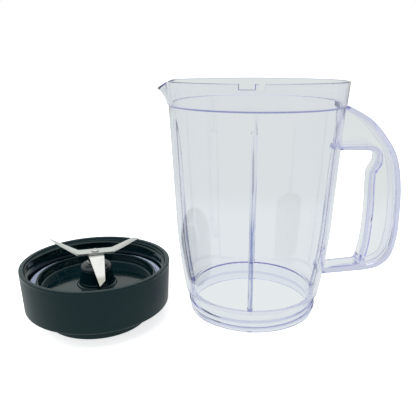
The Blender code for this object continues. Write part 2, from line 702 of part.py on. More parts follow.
def build_bearing(metal, bronze, rubber, felt, cap_plastic):
    """Make everything that stands still around the shaft."""
    seal_inner = CHANNEL_INNER + GAP
    seal_outer = COLLAR_BORE - THREAD_HEIGHT - GAP
    ring("sealing_ring", seal_inner, seal_outer, SEAL_Z, SEAL_Z + SEAL_THICKNESS, rubber["pale"],
         BASE_AT, ROUND_STEPS, 0.5 * MM)
    cap = [
        (SHAFT_HOLE + CAP_LEVEL, CAP_TOP),
        (BOSS_TOP_RADIUS - 2.2 * MM, CAP_TOP - 0.3 * MM),
        (BOSS_TOP_RADIUS - 0.4 * MM, CAP_TOP - 1.3 * MM),
        (BOSS_TOP_RADIUS + CAP_OVERHANG, CAP_TOP - 2.6 * MM),
        (BOSS_TOP_RADIUS + CAP_OVERHANG, CAP_Z),
        (SHAFT_HOLE, CAP_Z),
        (SHAFT_HOLE, CAP_TOP),
    ]
    finish(turned("bearing_cap", cap, cap_plastic, BASE_AT, SMALL_STEPS))
    seal_z = BOSS_TOP - SEAL_LIP_HEIGHT
    ring("shaft_seal", SHAFT_HOLE, BOSS_BORE - GAP, seal_z, BOSS_TOP, rubber["dark"], BASE_AT)
    upper_low = SLEEVE_TOP - BUSHING_LENGTH
    lower_low = SLEEVE_END
    bush_outer = SLEEVE_BORE - GAP
    ring("upper_bushing", SHAFT_HOLE, bush_outer, upper_low, SLEEVE_TOP, bronze, BASE_AT)
    ring("lower_bushing", SHAFT_HOLE, bush_outer, lower_low, lower_low + BUSHING_LENGTH, bronze, BASE_AT)
    ring("grease_felt", SHAFT_HOLE, bush_outer, lower_low + BUSHING_LENGTH + GAP, upper_low - GAP,
         felt, BASE_AT)
    groove = SLEEVE_RADIUS - O_RING_GROOVE
    groove_high = SLEEVE_TOP - O_RING_DROP
    groove_low = groove_high - O_RING_SECTION - 2 * GAP
    sleeve = [
        (SLEEVE_RADIUS, SLEEVE_TOP),
        (SLEEVE_RADIUS, groove_high),
        (groove, groove_high),
        (groove, groove_low),
        (SLEEVE_RADIUS, groove_low),
        (SLEEVE_RADIUS, SLEEVE_END),
        (SLEEVE_BORE, SLEEVE_END),
        (SLEEVE_BORE, SLEEVE_TOP),
    ]
    finish(turned("bearing_sleeve", sleeve, metal, BASE_AT, SMALL_STEPS))
    ring("sleeve_o_ring", groove + GAP, SLEEVE_RADIUS, groove_low + GAP, groove_high - GAP,
         rubber["dark"], BASE_AT)
    washer_high = BOSS_TAIL - GAP
    washer_low = washer_high - NUT_WASHER
    nut_corner = (SLEEVE_RADIUS + NUT_WALL) / math.cos(math.pi / 6)
    ring("nut_washer", BOSS_BORE, nut_corner, washer_low, washer_high, metal, BASE_AT)
    nut_high = washer_low - GAP
    nut = [
        (nut_corner, nut_high),
        (nut_corner, nut_high - NUT_HEIGHT),
        (0.0, nut_high - NUT_HEIGHT),
        (0.0, nut_high),
    ]
    hexagon = finish(turned("bearing_nut", nut, metal, BASE_AT, 6))
    bore = [
        (BOSS_BORE, nut_high + OVERRUN),
        (BOSS_BORE, nut_high - NUT_HEIGHT - OVERRUN),
        (0.0, nut_high - NUT_HEIGHT - OVERRUN),
        (0.0, nut_high + OVERRUN),
    ]
    as_tool(hexagon, "DIFFERENCE", turned("nut_bore", bore, at=BASE_AT, steps=SMALL_STEPS))


def build_shaft(metal, steel, brass, rubber):
    """Make the shaft and the pieces that turn with it, apart from the blades."""
    tip = BLADE_TOP + GAP
    clip_wall = SHAFT_RADIUS - CLIP_GROOVE
    thread = SHAFT_RADIUS - END_THREAD_STEP
    shaft = [
        (RIVET_RADIUS * 0.55, tip + RIVET_HEIGHT),
        (RIVET_RADIUS * 0.88, tip + RIVET_HEIGHT * 0.7),
        (RIVET_RADIUS, tip),
        (TENON_RADIUS, tip),
        (TENON_RADIUS, TENON_Z),
        (SHAFT_RADIUS, TENON_Z),
        (SHAFT_RADIUS, CLIP_Z + CLIP_THICKNESS + GAP),
        (clip_wall, CLIP_Z + CLIP_THICKNESS + GAP),
        (clip_wall, CLIP_Z - GAP),
        (thread, CLIP_Z - GAP),
        (thread, SHAFT_END),
        (0.0, SHAFT_END),
        (0.0, tip + RIVET_HEIGHT),
    ]
    finish(turned("drive_shaft", shaft, metal, BASE_AT, SMALL_STEPS))
    ring("seal_washer", SHAFT_HOLE, SHAFT_HOLE + SLINGER_WIDTH, SLINGER_Z, SLINGER_Z + WASHER, steel,
         BASE_AT)
    ring("hub_spacer", SHAFT_HOLE, SHAFT_HOLE + SPACER_WALL, SPACER_Z, TENON_Z, steel, BASE_AT)
    washer_low = SLEEVE_END - GAP - WASHER
    clip_bore = clip_wall + GAP
    ring("thrust_washer", SHAFT_HOLE, clip_bore + CLIP_WIDTH, washer_low, washer_low + WASHER, steel,
         BASE_AT)
    build_clip(steel, clip_bore)
    ring("coupling_insert", thread + GAP, INSERT_RADIUS, COUPLING_FACE + INSERT_RECESS, COUPLING_TOP,
         brass, BASE_AT)
    build_coupling(rubber)


def build_clip(steel, bore):
    """Make the open spring clip in the shaft's groove."""
    start = CLIP_OPENING / 2
    end = math.tau - start
    outer = arc((0.0, 0.0), bore + CLIP_WIDTH, start, end, CLIP_STEPS)
    inner = arc((0.0, 0.0), bore, end, start, CLIP_STEPS)
    clip = plate("retaining_ring", outer + inner, CLIP_THICKNESS, steel)
    clip.data.transform(Matrix.Translation((0.0, 0.0, CLIP_Z + CLIP_THICKNESS / 2)))
    clip.location = BASE_AT
    return finish(clip)


def build_coupling(rubber):
    """Make the toothed coupling: a cup whose wall carries teeth that point inwards."""
    wall = COUPLING_WEB
    top = COUPLING_TOP
    hub_bore = INSERT_RADIUS + GAP
    cup = [
        (COUPLING_RADIUS, top),
        (COUPLING_RADIUS, COUPLING_FACE),
        (COUPLING_RADIUS - wall, COUPLING_FACE),
        (COUPLING_RADIUS - wall, top - wall),
        (hub_bore + HUB_WALL, top - wall),
        (hub_bore + HUB_WALL, COUPLING_FACE),
        (hub_bore, COUPLING_FACE),
        (hub_bore, top),
    ]
    coupling = turned("drive_coupling", cup, rubber, BASE_AT, COUPLING_STEPS)
    length = COUPLING_TOOTH_REACH + COUPLING_TOOTH_ROOT
    tall = top - wall / 2 - COUPLING_FACE - RIM_EASE
    size = (length, COUPLING_TOOTH_WIDTH, tall)
    middle = (
        COUPLING_RADIUS - wall + COUPLING_TOOTH_ROOT - length / 2,
        0.0,
        COUPLING_FACE + RIM_EASE + tall / 2,
    )
    for index in range(COUPLING_TEETH):
        turn = math.tau * index / COUPLING_TEETH
        as_tool(coupling, "UNION", block(f"coupling_tooth_{index + 1}", size, middle, turn, BASE_AT))
    return finish(coupling)


def wing_outline(width, bend_at, reach, fold, tip_shift):
    """Return one wing's flat outline beyond its bend line, with a slanted, pointed end."""
    half = width / 2
    length = (reach - bend_at) / math.cos(fold)
    tip = bend_at + length
    return [
        (bend_at, -half),
        (tip, -tip_shift),
        (tip - TIP_SLANT, -tip_shift + TIP_WIDTH),
        (bend_at, half),
    ]


def build_blade(name, steel, width, bend_at, reach, folds, tip_shift, low, yaw):
    """Make one bent two-winged blade with a hole for the shaft's tenon."""
    right = wing_outline(width, bend_at, reach, folds[0], tip_shift)
    left = wing_outline(width, bend_at, reach, folds[1], tip_shift)
    outline = right + [(-x, -y) for x, y in left]
    blade = plate(name, outline, BLADE_SHEET, steel)
    bm = bmesh.new()
    bm.from_mesh(blade.data)
    for side, fold in zip((1, -1), folds):
        bend(bm, (side * bend_at, 0.0), (side, 0.0), fold, 0.0)
    bmesh.ops.recalc_face_normals(bm, faces=bm.faces)
    bm.to_mesh(blade.data)
    bm.free()
    place = Matrix.Translation((0.0, 0.0, low + BLADE_SHEET / 2)) @ Matrix.Rotation(yaw, 4, "Z")
    blade.data.transform(place)
    blade.location = BASE_AT
    hole = [
        (TENON_RADIUS + GAP, low + BLADE_SHEET + OVERRUN),
        (TENON_RADIUS + GAP, low - OVERRUN),
        (0.0, low - OVERRUN),
        (0.0, low + BLADE_SHEET + OVERRUN),
    ]
    as_tool(blade, "DIFFERENCE", turned(name + "_hole", hole, at=BASE_AT, steps=24))
    return finish(blade, math.radians(20))


# ---------------------------------------------------------------- assembly
def build():
    """Build both assemblies."""
    black = make_material("black_plastic", (0.012, 0.02, 0.023), 0.38)
    cap_black = make_material("cap_black", (0.015, 0.022, 0.027), 0.25)
    clear = make_material("clear_plastic", (0.86, 0.88, 0.95), 0.06, alpha=0.35)
    steel = make_material("blade_steel", (0.72, 0.73, 0.72), 0.22, 1.0)
    shaft_steel = make_material("shaft_steel", (0.6, 0.6, 0.6), 0.3, 1.0)
    bronze = make_material("sintered_bronze", (0.55, 0.36, 0.16), 0.5, 1.0)
    brass = make_material("brass", (0.7, 0.52, 0.22), 0.35, 1.0)
    pale = make_material("pale_silicone", (0.55, 0.62, 0.72), 0.45)
    dark = make_material("black_rubber", (0.02, 0.02, 0.02), 0.7)
    felt = make_material("felt", (0.5, 0.47, 0.4), 0.9)
    build_jar(clear)
    build_handle(clear)
    build_housing(black)
    build_bearing(shaft_steel, bronze, {"pale": pale, "dark": dark}, felt, cap_black)
    build_shaft(shaft_steel, steel, brass, dark)
    build_blade("upper_blade", steel, UPPER_WIDTH, UPPER_BEND, UPPER_REACH, UPPER_FOLDS,
                UPPER_TIP_SHIFT, UPPER_BLADE_Z, UPPER_YAW)
    build_blade("lower_blade", steel, LOWER_WIDTH, LOWER_BEND, LOWER_REACH, LOWER_FOLDS,
                LOWER_TIP_SHIFT, LOWER_BLADE_Z, LOWER_YAW)


clear_scene()
MODEL = make_collection("blender_jug_and_blade_base")
TOOLS = make_collection("cutters_and_additions")
build()
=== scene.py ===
"""Fine looks for a clear blender jug standing beside its black screw-on blade base.

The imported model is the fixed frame. Each sub-assembly is a class that reads its places from that
frame, builds smooth pieces with bmesh operators and gives each one a procedural finish. Lengths in
the classes are millimetres; meshes are metres.
"""

import logging
import math
from collections.abc import Callable, Sequence
from dataclasses import dataclass, field
from enum import Enum
from typing import Any

import bmesh
import bpy
from mathutils import Matrix, Vector


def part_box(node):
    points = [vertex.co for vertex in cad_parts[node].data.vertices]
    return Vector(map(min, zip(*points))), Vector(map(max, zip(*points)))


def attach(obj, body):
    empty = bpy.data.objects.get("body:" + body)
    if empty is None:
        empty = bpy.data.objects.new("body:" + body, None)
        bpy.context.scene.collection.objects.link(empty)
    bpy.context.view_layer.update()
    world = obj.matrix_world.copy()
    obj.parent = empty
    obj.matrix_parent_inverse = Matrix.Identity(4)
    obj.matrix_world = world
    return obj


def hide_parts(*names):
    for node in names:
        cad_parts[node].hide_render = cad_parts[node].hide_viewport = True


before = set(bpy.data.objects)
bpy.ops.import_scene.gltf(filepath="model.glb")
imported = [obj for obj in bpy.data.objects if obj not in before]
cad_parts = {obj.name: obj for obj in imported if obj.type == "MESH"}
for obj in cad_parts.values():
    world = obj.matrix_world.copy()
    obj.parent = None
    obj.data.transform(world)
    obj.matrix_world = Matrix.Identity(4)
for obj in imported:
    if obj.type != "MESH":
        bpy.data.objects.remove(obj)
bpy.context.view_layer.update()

LOG = logging.getLogger("blender_jug")
MM = 0.001
FINE_STEPS = 192  # sides of the jug and the collar
SMALL_STEPS = 96  # sides of the bearing's pieces
MERGE = 1e-7  # metres, for poles and seams
Point = tuple[float, float]


class Body(Enum):
    """The bodies that a piece can ride on."""

    BASE = "blade_base"
    ROTOR = "rotor"
    SEAL = "seal"
    JUG = "jug"


class Cut(Enum):
    """How a second solid changes the first."""

    JOIN = "UNION"
    REMOVE = "DIFFERENCE"


# ---------------------------------------------------------------------------- shader expressions
class Shade:
    """One socket of a material, which adds Math nodes when it is used in an expression."""

    def __init__(self, finish: "MaterialMaker", socket: bpy.types.NodeSocket) -> None:
        """Wrap a socket.

        Args:
            finish: the material that the socket belongs to.
            socket: the output socket that this value comes from.
        """
        self.finish = finish
        self.socket = socket

    def _math(self, operation: str, *values: Any) -> "Shade":
        """Return the result of one Math node."""
        return self.finish.add("ShaderNodeMath", {"operation": operation}, dict(enumerate(values)))

    def __add__(self, other: Any) -> "Shade":
        """Add another value."""
        return self._math("ADD", self, other)

    def __sub__(self, other: Any) -> "Shade":
        """Take another value away."""
        return self._math("SUBTRACT", self, other)

    def __rsub__(self, other: Any) -> "Shade":
        """Be taken away from a number."""
        return self._math("SUBTRACT", other, self)

    def __mul__(self, other: Any) -> "Shade":
        """Multiply by another value."""
        return self._math("MULTIPLY", self, other)

    def __truediv__(self, other: Any) -> "Shade":
        """Divide by another value."""
        return self._math("DIVIDE", self, other)

    def __pow__(self, other: Any) -> "Shade":
        """Raise to a power."""
        return self._math("POWER", self, other)

    __radd__ = __add__
    __rmul__ = __mul__

    def size(self) -> "Shade":
        """Return the value without its sign."""
        return self._math("ABSOLUTE", self)

    def root(self) -> "Shade":
        """Return the square root."""
        return self._math("SQRT", self)

    def most(self, other: Any) -> "Shade":
        """Return the larger of this value and another."""
        return self._math("MAXIMUM", self, other)

    def near(self, middle: float, half: float) -> "Shade":
        """Return 1 within about half of a middle value, fading to 0 just past it."""
        return (self - middle).size().step(half * 1.15, half * 0.7)

    def angle_with(self, other: "Shade") -> "Shade":
        """Return the angle whose tangent is this value over the other one."""
        return self._math("ARCTAN2", self, other)

    def step(self, start: float, end: float) -> "Shade":
        """Return 0 before start and 1 past end, with a smooth change between.

        Args:
            start: the value at which the change starts.
            end: the value at which it ends; a lower one than start turns the step round.
        Returns:
            The share of the change, from 0 to 1.
        """
        if end < start:
            return 1.0 - self.step(end, start)
        return self.finish.add(
            "ShaderNodeMapRange",
            {"interpolation_type": "SMOOTHSTEP"},
            {"Value": self, "From Min": start, "From Max": end},
        )


class MaterialMaker:
    """Builds one material's nodes around a Principled shader."""

    def __init__(self, name: str, **constants: Any) -> None:
        """Start a material.

        Args:
            name: the material's name.
            constants: values of the Principled shader's own sockets, with _ for a space.
        """
        self.material = bpy.data.materials.new(name)
        self.material.use_nodes = True
        self.tree = self.material.node_tree
        self.shader = self.tree.nodes["Principled BSDF"]
        for key, value in constants.items():
            self.shader.inputs[key.replace("_", " ")].default_value = value
        self._place: Shade | None = None

    def add(
        self,
        kind: str,
        settings: dict[str, Any] | None = None,
        inputs: dict[int | str, Any] | None = None,
        output: int | str = 0,
    ) -> Shade:
        """Add a node, set it up and link it.

        Args:
            kind: the node's type.
            settings: its properties, set first; "stops" fills a colour ramp.
            inputs: the values or links of its sockets, by name or number.
            output: the socket to return.
        Returns:
            The chosen output socket.
        """
        node = self.tree.nodes.new(kind)
        for key, value in (settings or {}).items():
            if key == "stops":
                self.fill_ramp(node.color_ramp, value)
            else:
                setattr(node, key, value)
        for key, value in (inputs or {}).items():
            self._feed(node.inputs[key], value)
        return Shade(self, node.outputs[output])

    @staticmethod
    def fill_ramp(ramp: bpy.types.ColorRamp, stops: Sequence[tuple[float, Sequence[float]]]) -> None:
        """Give a colour ramp its stops."""
        while len(ramp.elements) < len(stops):
            ramp.elements.new(1.0)
        for element, (position, color) in zip(ramp.elements, stops):
            element.position = position
            element.color = (*color, 1.0)

    def _feed(self, socket: bpy.types.NodeSocket, value: Any) -> None:
        """Link a shade to a socket, or set the socket's value."""
        if isinstance(value, Shade):
            self.tree.links.new(value.socket, socket)
        elif isinstance(value, Sequence) and len(value) == 3 and socket.type == "RGBA":
            socket.default_value = (*value, 1.0)
        else:
            socket.default_value = value

    def feed(self, **values: Any) -> None:
        """Set or link sockets of the Principled shader, with _ for a space in their names."""
        for key, value in values.items():
            self._feed(self.shader.inputs[key.replace("_", " ")], value)

    def place(self) -> Shade:
        """Return the point on the piece in the model's own frame."""
        if self._place is None:
            self._place = self.add("ShaderNodeTexCoord", output="Object")
        return self._place

    def moved(self, centre: Vector, turn: float = 0.0, scale: Sequence[float] = (1, 1, 1)) -> Shade:
        """Return the place seen from a centre, turned about Z and scaled.

        Args:
            centre: the new origin, in metres.
            turn: the angle of the new X axis, in radians.
            scale: how much each axis is stretched.
        Returns:
            The place as a vector.
        """
        seen = self.add(
            "ShaderNodeMapping",
            {"vector_type": "TEXTURE"},
            {"Vector": self.place(), "Location": centre, "Rotation": (0.0, 0.0, turn)},
        )
        return self.add(
            "ShaderNodeVectorMath", {"operation": "MULTIPLY"}, {0: seen, 1: tuple(scale)}
        )

    def axes(self, vector: Shade) -> tuple[Shade, Shade, Shade]:
        """Split a vector into its three numbers."""
        first = self.add("ShaderNodeSeparateXYZ", inputs={"Vector": vector})
        outputs = first.socket.node.outputs
        return first, Shade(self, outputs[1]), Shade(self, outputs[2])

    def joined(self, *values: Any) -> Shade:
        """Return three numbers as one vector."""
        return self.add("ShaderNodeCombineXYZ", inputs=dict(enumerate(values)))

    def rings(self, reach: Shade, scale: float) -> Shade:
        """Return noise that changes with one number only, such as the distance from an axis."""
        return self.add("ShaderNodeTexNoise", {"noise_dimensions": "1D"}, {"W": reach, "Scale": scale})

    def noise(self, scale: float, detail: float = 3.0, vector: Shade | None = None) -> Shade:
        """Return soft noise from 0 to 1.

        Args:
            scale: how many waves there are in a metre of the vector.
            detail: the number of finer layers.
            vector: where the noise is read; the piece's own place if left out.
        Returns:
            The noise.
        """
        return self.add(
            "ShaderNodeTexNoise",
            {"noise_dimensions": "3D"},
            {"Vector": vector or self.place(), "Scale": scale, "Detail": detail},
        )

    def mix(self, share: Shade, first: Any, second: Any) -> Shade:
        """Return a colour between two others."""
        return self.add(
            "ShaderNodeMix",
            {"data_type": "RGBA"},
            {0: share, 6: first, 7: second},
            output=2,
        )

    def bump(self, height: Shade, depth: float, normal: Shade | None = None) -> Shade:
        """Return a normal that stands for small relief.

        Args:
            height: the relief, from 0 to 1.
            depth: what 1 stands for, in metres.
            normal: another relief that this one is added to.
        Returns:
            The new normal.
        """
        inputs: dict[int | str, Any] = {"Height": height, "Distance": depth, "Strength": 1.0}
        if normal is not None:
            inputs["Normal"] = normal
        return self.add("ShaderNodeBump", inputs=inputs)


# ---------------------------------------------------------------------------- finishes
@dataclass(frozen=True)
class JugMarks:
    """Where the jug's painted light and shade tints go, all in metres.

    Attributes:
        centre: the jug's axis at the floor.
        web: lowest and highest corner of the handle's frosted web.
        height: the mouth's height.
        shoulder: height of the line under the lid rim, and the least radius outside it.
        flank: radius and height of the flank's foot and of its top.
        tuck: how far the flank pulls in, and up to what height above its foot.
        nose: how far inside the flank the ribs' noses begin.
        rib_foot: height of the ribs' lower ends.
        rib_turn: direction of the first rib, in radians.
        neck: height and outer radius of the neck.
        notch: direction of the lid's notch, in radians, then half its width and its floor's height.
        corners: points where the handle grows out of the wall.
    """

    centre: Vector
    web: tuple[Vector, Vector]
    height: float
    shoulder: Point
    flank: tuple[Point, Point]
    tuck: Point
    nose: float
    rib_foot: float
    rib_turn: float
    neck: Point
    notch: tuple[float, float, float]
    corners: tuple[Vector, ...]


@dataclass(frozen=True)
class ClearPlastic:
    """Polished clear plastic with painted blue light and shade in its ribs, lines and corners."""

    marks: JugMarks
    tint: tuple[float, float, float] = (0.966, 0.965, 0.991)
    tint_density: float = 470.0
    polish: float = 0.008
    frost: float = 0.13
    ripple: float = 0.00003
    # Painted light and shade: the blue, grey and lilac tints below stand for light carried along the clear
    # walls, not a dye.
    line_painted_shade_blue: tuple[float, float, float] = (0.16, 0.17, 0.50)
    rib_painted_shade_blue: tuple[float, float, float] = (0.16, 0.21, 0.47)
    rib_painted_reflection_grey: tuple[float, float, float] = (0.24, 0.26, 0.34)
    neck_painted_light_lilac: tuple[float, float, float] = (0.93, 0.935, 0.965)
    edge_painted_light_lilac: tuple[float, float, float] = (0.52, 0.54, 0.80)
    # Heights of the ribs' painted shade (blue, low) and painted reflection (grey, higher).
    rib_low: Point = (0.104, 0.074)  # heights between which the blue comes in, downwards
    rib_high: tuple[Point, Point] = ((0.098, 0.106), (0.143, 0.132))  # where the grey starts and ends

    def _frosted(self, maker: MaterialMaker) -> Shade:
        """Return where the handle's web is."""
        x, y, z = maker.axes(maker.place())
        low, high = self.marks.web
        across = x.step(low.x, low.x + 4 * MM) * x.step(high.x, high.x - 4 * MM)
        deep = y.step(low.y - 0.4 * MM, low.y) * y.step(high.y + 0.4 * MM, high.y)
        return across * deep * z.step(low.z, low.z + 4 * MM) * z.step(high.z, high.z - 4 * MM)

    def _flank(self, z: Shade) -> Shade:
        """Return the wall's outer radius at a height between the neck and the shoulder."""
        (foot_r, foot_z), (top_r, top_z) = self.marks.flank
        tuck, tuck_height = self.marks.tuck
        straight = foot_r + (z - foot_z) * ((top_r - foot_r) / (top_z - foot_z))
        below = (1.0 - (z - foot_z) / tuck_height).most(0.0)
        return straight - below * below * tuck

    def _neck(self, maker: MaterialMaker, radius: Shade, z: Shade) -> Shade:
        """Return plain white with painted lilac light on the neck and on its thread's crests."""
        top, wall = self.marks.neck
        low = z.step(top + 3 * MM, top - 1 * MM)
        # Painted lilac light on the neck, and on the thread's crests below.
        colour = maker.mix(low, (1.0, 1.0, 1.0), self.neck_painted_light_lilac)
        crest = radius.step(wall + 0.5 * MM, wall + 1.0 * MM) * z.step(top - 1 * MM, top - 1.6 * MM)
        return maker.mix(crest * 0.7, colour, self.edge_painted_light_lilac)

    def _ribs(self, maker: MaterialMaker, colour: Shade, radius: Shade, angle: Shade, z: Shade) -> Shade:
        """Add painted blue shade on the ribs' noses low down, painted grey reflection on them higher up, and
        a painted shade dot at each foot.
        """
        marks = self.marks
        depth = self._flank(z) - radius
        sector = maker.add(
            "ShaderNodeMath",
            {"operation": "WRAP"},
            {0: angle - marks.rib_turn, 1: math.pi / 4, 2: -math.pi / 4},
        )
        side = sector * radius
        aside = side.size()
        # Streaks that break up the ribs' painted shade and reflection.
        streak = maker.noise(1.0, 2.0, maker.joined(side * 900.0, z * 38.0, radius * 300.0))
        drift = streak.step(0.4, 0.6) * 0.6 + 0.4
        nose = depth.step(marks.nose - 0.2 * MM, marks.nose + 0.3 * MM) * drift
        nose = nose * z.step(marks.rib_foot - 0.4 * MM, marks.rib_foot) * aside.step(2.4 * MM, 1.7 * MM)
        low_part = z.step(*self.rib_low)
        high_part = z.step(*self.rib_high[0]) * z.step(*self.rib_high[1]) * aside.step(0.9 * MM, 0.4 * MM)
        # Painted blue shade low on the ribs' noses, painted grey reflection higher up.
        colour = maker.mix(nose * low_part, colour, self.rib_painted_shade_blue)
        colour = maker.mix(nose * high_part, colour, self.rib_painted_reflection_grey)
        # A dot of painted shade at each rib's foot.
        foot = depth.step(2.6 * MM, 3.0 * MM) * z.near(marks.rib_foot + 0.4 * MM, 1.3 * MM)
        return maker.mix(foot * aside.step(2.2 * MM, 1.5 * MM), colour, self.line_painted_shade_blue)

    def _colour(self, maker: MaterialMaker) -> Shade:
        """Return the painted tint, which stands for the colour that light gathers along the plastic.

        The line of painted shade under the lid rim is painted on the front half only.
        """
        marks = self.marks
        x, y, z = maker.axes(maker.moved(marks.centre))
        radius = (x * x + y * y).root()
        colour = self._ribs(maker, self._neck(maker, radius, z), radius, y.angle_with(x), z)
        height, least = marks.shoulder
        # Line of painted shade under the lid rim, on the front half only.
        line = z.near(height + 0.45 * MM, 0.6 * MM) * radius.step(least, least + 0.1 * MM)
        colour = maker.mix(line * y.step(3 * MM, -9 * MM), colour, self.line_painted_shade_blue)
        # Painted lilac light along the mouth's rim.
        rim = z.step(marks.height - 0.9 * MM, marks.height - 0.2 * MM)
        colour = maker.mix(rim * 0.7, colour, self.edge_painted_light_lilac)
        # Painted shade along the walls and floor of the notch.
        colour = maker.mix(self._notched(maker), colour, self.line_painted_shade_blue)
        # Dots of painted shade where the handle grows out of the wall.
        for corner in marks.corners:
            inputs = {0: maker.place(), 1: corner}
            away = maker.add("ShaderNodeVectorMath", {"operation": "DISTANCE"}, inputs, output="Value")
            colour = maker.mix(away.step(2.3 * MM, 1.1 * MM), colour, self.line_painted_shade_blue)
        return colour

    def _notched(self, maker: MaterialMaker) -> Shade:
        """Return where the walls and floor of the lid's wide notch are."""
        turn, half, floor = self.marks.notch
        out, along, z = maker.axes(maker.moved(self.marks.centre, turn))
        sides = along.size().near(half, 0.3 * MM) * z.step(floor - 0.4 * MM, floor)
        flat = z.near(floor, 0.3 * MM) * along.size().step(half + 0.3 * MM, half)
        return sides.most(flat) * out.step(0.0, 1 * MM)

    def make(self) -> bpy.types.Material:
        """Return the material."""
        maker = MaterialMaker(
            "clear_plastic_polished",
            Transmission_Weight=1.0,
            IOR=1.53,
            Metallic=0.0,
        )
        scuff = maker.noise(160.0, 5.0).step(0.58, 0.78)
        wiped = maker.noise(1.0, 4.0, maker.moved(self.marks.centre, 0.0, (900, 900, 60))).step(0.5, 0.8)
        maker.feed(
            Base_Color=self._colour(maker),
            Roughness=self.polish + scuff * 0.02 + wiped * 0.012 + self._frosted(maker) * self.frost,
            Normal=maker.bump(
                maker.noise(42.0, 1.0),
                self.ripple,
                maker.bump(maker.noise(1500.0, 2.0), 0.000002),
            ),
        )
        absorb = maker.tree.nodes.new("ShaderNodeVolumeAbsorption")
        absorb.inputs["Color"].default_value = (*self.tint, 1.0)
        absorb.inputs["Density"].default_value = self.tint_density
        out = maker.tree.nodes["Material Output"]
        maker.tree.links.new(absorb.outputs["Volume"], out.inputs["Volume"])
        return maker.material


@dataclass(frozen=True)
class MouldedBlack:
    """Black moulded plastic: satin outside, polished inside the cup.

    Attributes:
        centre: the blade base's axis at the floor, in metres.
        cup: radius of the polished inside, and the rim's height, in metres.
    """

    centre: Vector
    cup: tuple[float, float]
    deep: tuple[float, float, float] = (0.0012, 0.0105, 0.0140)
    worn: tuple[float, float, float] = (0.0035, 0.0145, 0.0185)
    satin: float = 0.34
    polish: float = 0.05
    polish_foot: tuple[float, float] = (0.0236, 0.0244)  # heights between which the polish starts

    def make(self) -> bpy.types.Material:
        """Return the material."""
        maker = MaterialMaker(
            "moulded_black", Specular_IOR_Level=0.21, Specular_Tint=(0.6, 0.96, 1.0, 1.0), Coat_Roughness=0.03
        )
        x, y, z = maker.axes(maker.moved(self.centre))
        radius = (x * x + y * y).root()
        bore, rim = self.cup
        inside = radius.step(bore + 0.6 * MM, bore) * z.step(*self.polish_foot)
        lip = z.step(rim - 2.0 * MM, rim - 1.2 * MM) * (1.0 - inside)
        grain = maker.noise(2600.0, 2.0)
        cloud = maker.noise(55.0, 4.0)
        around = maker.joined(y.angle_with(x) * 14.0, z * 40.0, radius * 40.0)
        flow = maker.noise(1.0, 3.0, around)
        nicks = maker.noise(340.0, 4.0)
        handled = cloud.step(0.45, 0.75) * (1.0 - inside)
        rubbed = nicks.step(0.55, 0.7) * lip
        shine = inside.most(lip * 0.8)
        maker.feed(
            # On the lip the tone variation is left out, so the rim top stays darker: painted shade; the
            # rubbed nicks there are wear.
            Base_Color=maker.mix(
                (handled * 0.5 + flow * 0.15) * (1.0 - lip) + rubbed * 0.3, self.deep, self.worn
            ),
            Roughness=(self.satin + cloud * 0.08 + grain * 0.05) * (1.0 - shine)
            + shine * (self.polish + cloud * 0.05),
            Coat_Weight=inside * (0.3 + flow * 0.24) + (1.0 - inside) * 0.12,
            Normal=maker.bump(
                grain * (1.0 - inside),
                0.000022,
                maker.bump(nicks * lip, 0.00022, maker.bump(flow, 0.00005)),
            ),
        )
        return maker.material


@dataclass(frozen=True)
class CapBlack:
    """Dense glossy black of the bearing cap, with fine turned rings."""

    centre: Vector

    def make(self) -> bpy.types.Material:
        """Return the material."""
        maker = MaterialMaker("cap_black", Specular_IOR_Level=0.6)
        x, y, _ = maker.axes(maker.moved(self.centre))
        radius = (x * x + y * y).root()
        rings = maker.rings(radius, 2600.0)
        cloud = maker.noise(240.0, 3.0)
        maker.feed(
            Base_Color=maker.mix(cloud, (0.006, 0.011, 0.014), (0.016, 0.024, 0.03)),
            Roughness=0.22 + cloud * 0.1,
            Normal=maker.bump(rings, 0.000006),
        )
        return maker.material


@dataclass(frozen=True)
class BladeSteel:
    """Ground stainless steel whose scratches run along one direction, with a painted reflection that darkens
    the lower tips.

    Attributes:
        name: the material's name.
        centre: the blade's middle, in metres.
        turn: the blade's own direction about Z, in radians.
        grain: scratches across and along the blade in a metre.
        painted_reflection_heights: heights between which the steel turns to a darker, warmer tone, a painted
            reflection, in metres.
    """

    name: str
    centre: Vector
    turn: float
    grain: tuple[float, float] = (2600.0, 90.0)
    painted_reflection_heights: tuple[float, float] = (0.0, -1.0)
    bright: tuple[float, float, float] = (0.81, 0.82, 0.80)
    dull: tuple[float, float, float] = (0.58, 0.58, 0.56)
    painted_reflection_warm: tuple[float, float, float] = (0.43, 0.43, 0.37)

    def make(self) -> bpy.types.Material:
        """Return the material."""
        maker = MaterialMaker(self.name, Metallic=1.0)
        fine, coarse = self.grain
        along = maker.moved(self.centre, self.turn, (coarse, fine, fine))
        across = maker.moved(self.centre, self.turn, (fine, coarse, fine))
        ground = maker.add("ShaderNodeAttribute", {"attribute_name": "ground"}, output="Fac")
        rolled = maker.noise(1.0, 3.0, along)
        cut = maker.noise(1.0, 2.0, across)
        lines = rolled * (1.0 - ground) + cut * ground
        stain = maker.noise(180.0, 4.0).step(0.5, 0.72)
        _, _, height = maker.axes(maker.place())
        steel = maker.mix(lines * 0.4 + stain * 0.2, self.bright, self.dull)
        maker.feed(
            # Painted reflection: a darker, warmer tone towards the lower blade's tips.
            Base_Color=maker.mix(height.step(*self.painted_reflection_heights) * (0.6 + lines * 0.5), steel, self.painted_reflection_warm),
            Roughness=0.2 + lines * 0.16 + stain * 0.08 - ground * 0.05,
            Normal=maker.bump(lines, 0.000008),
        )
        return maker.material


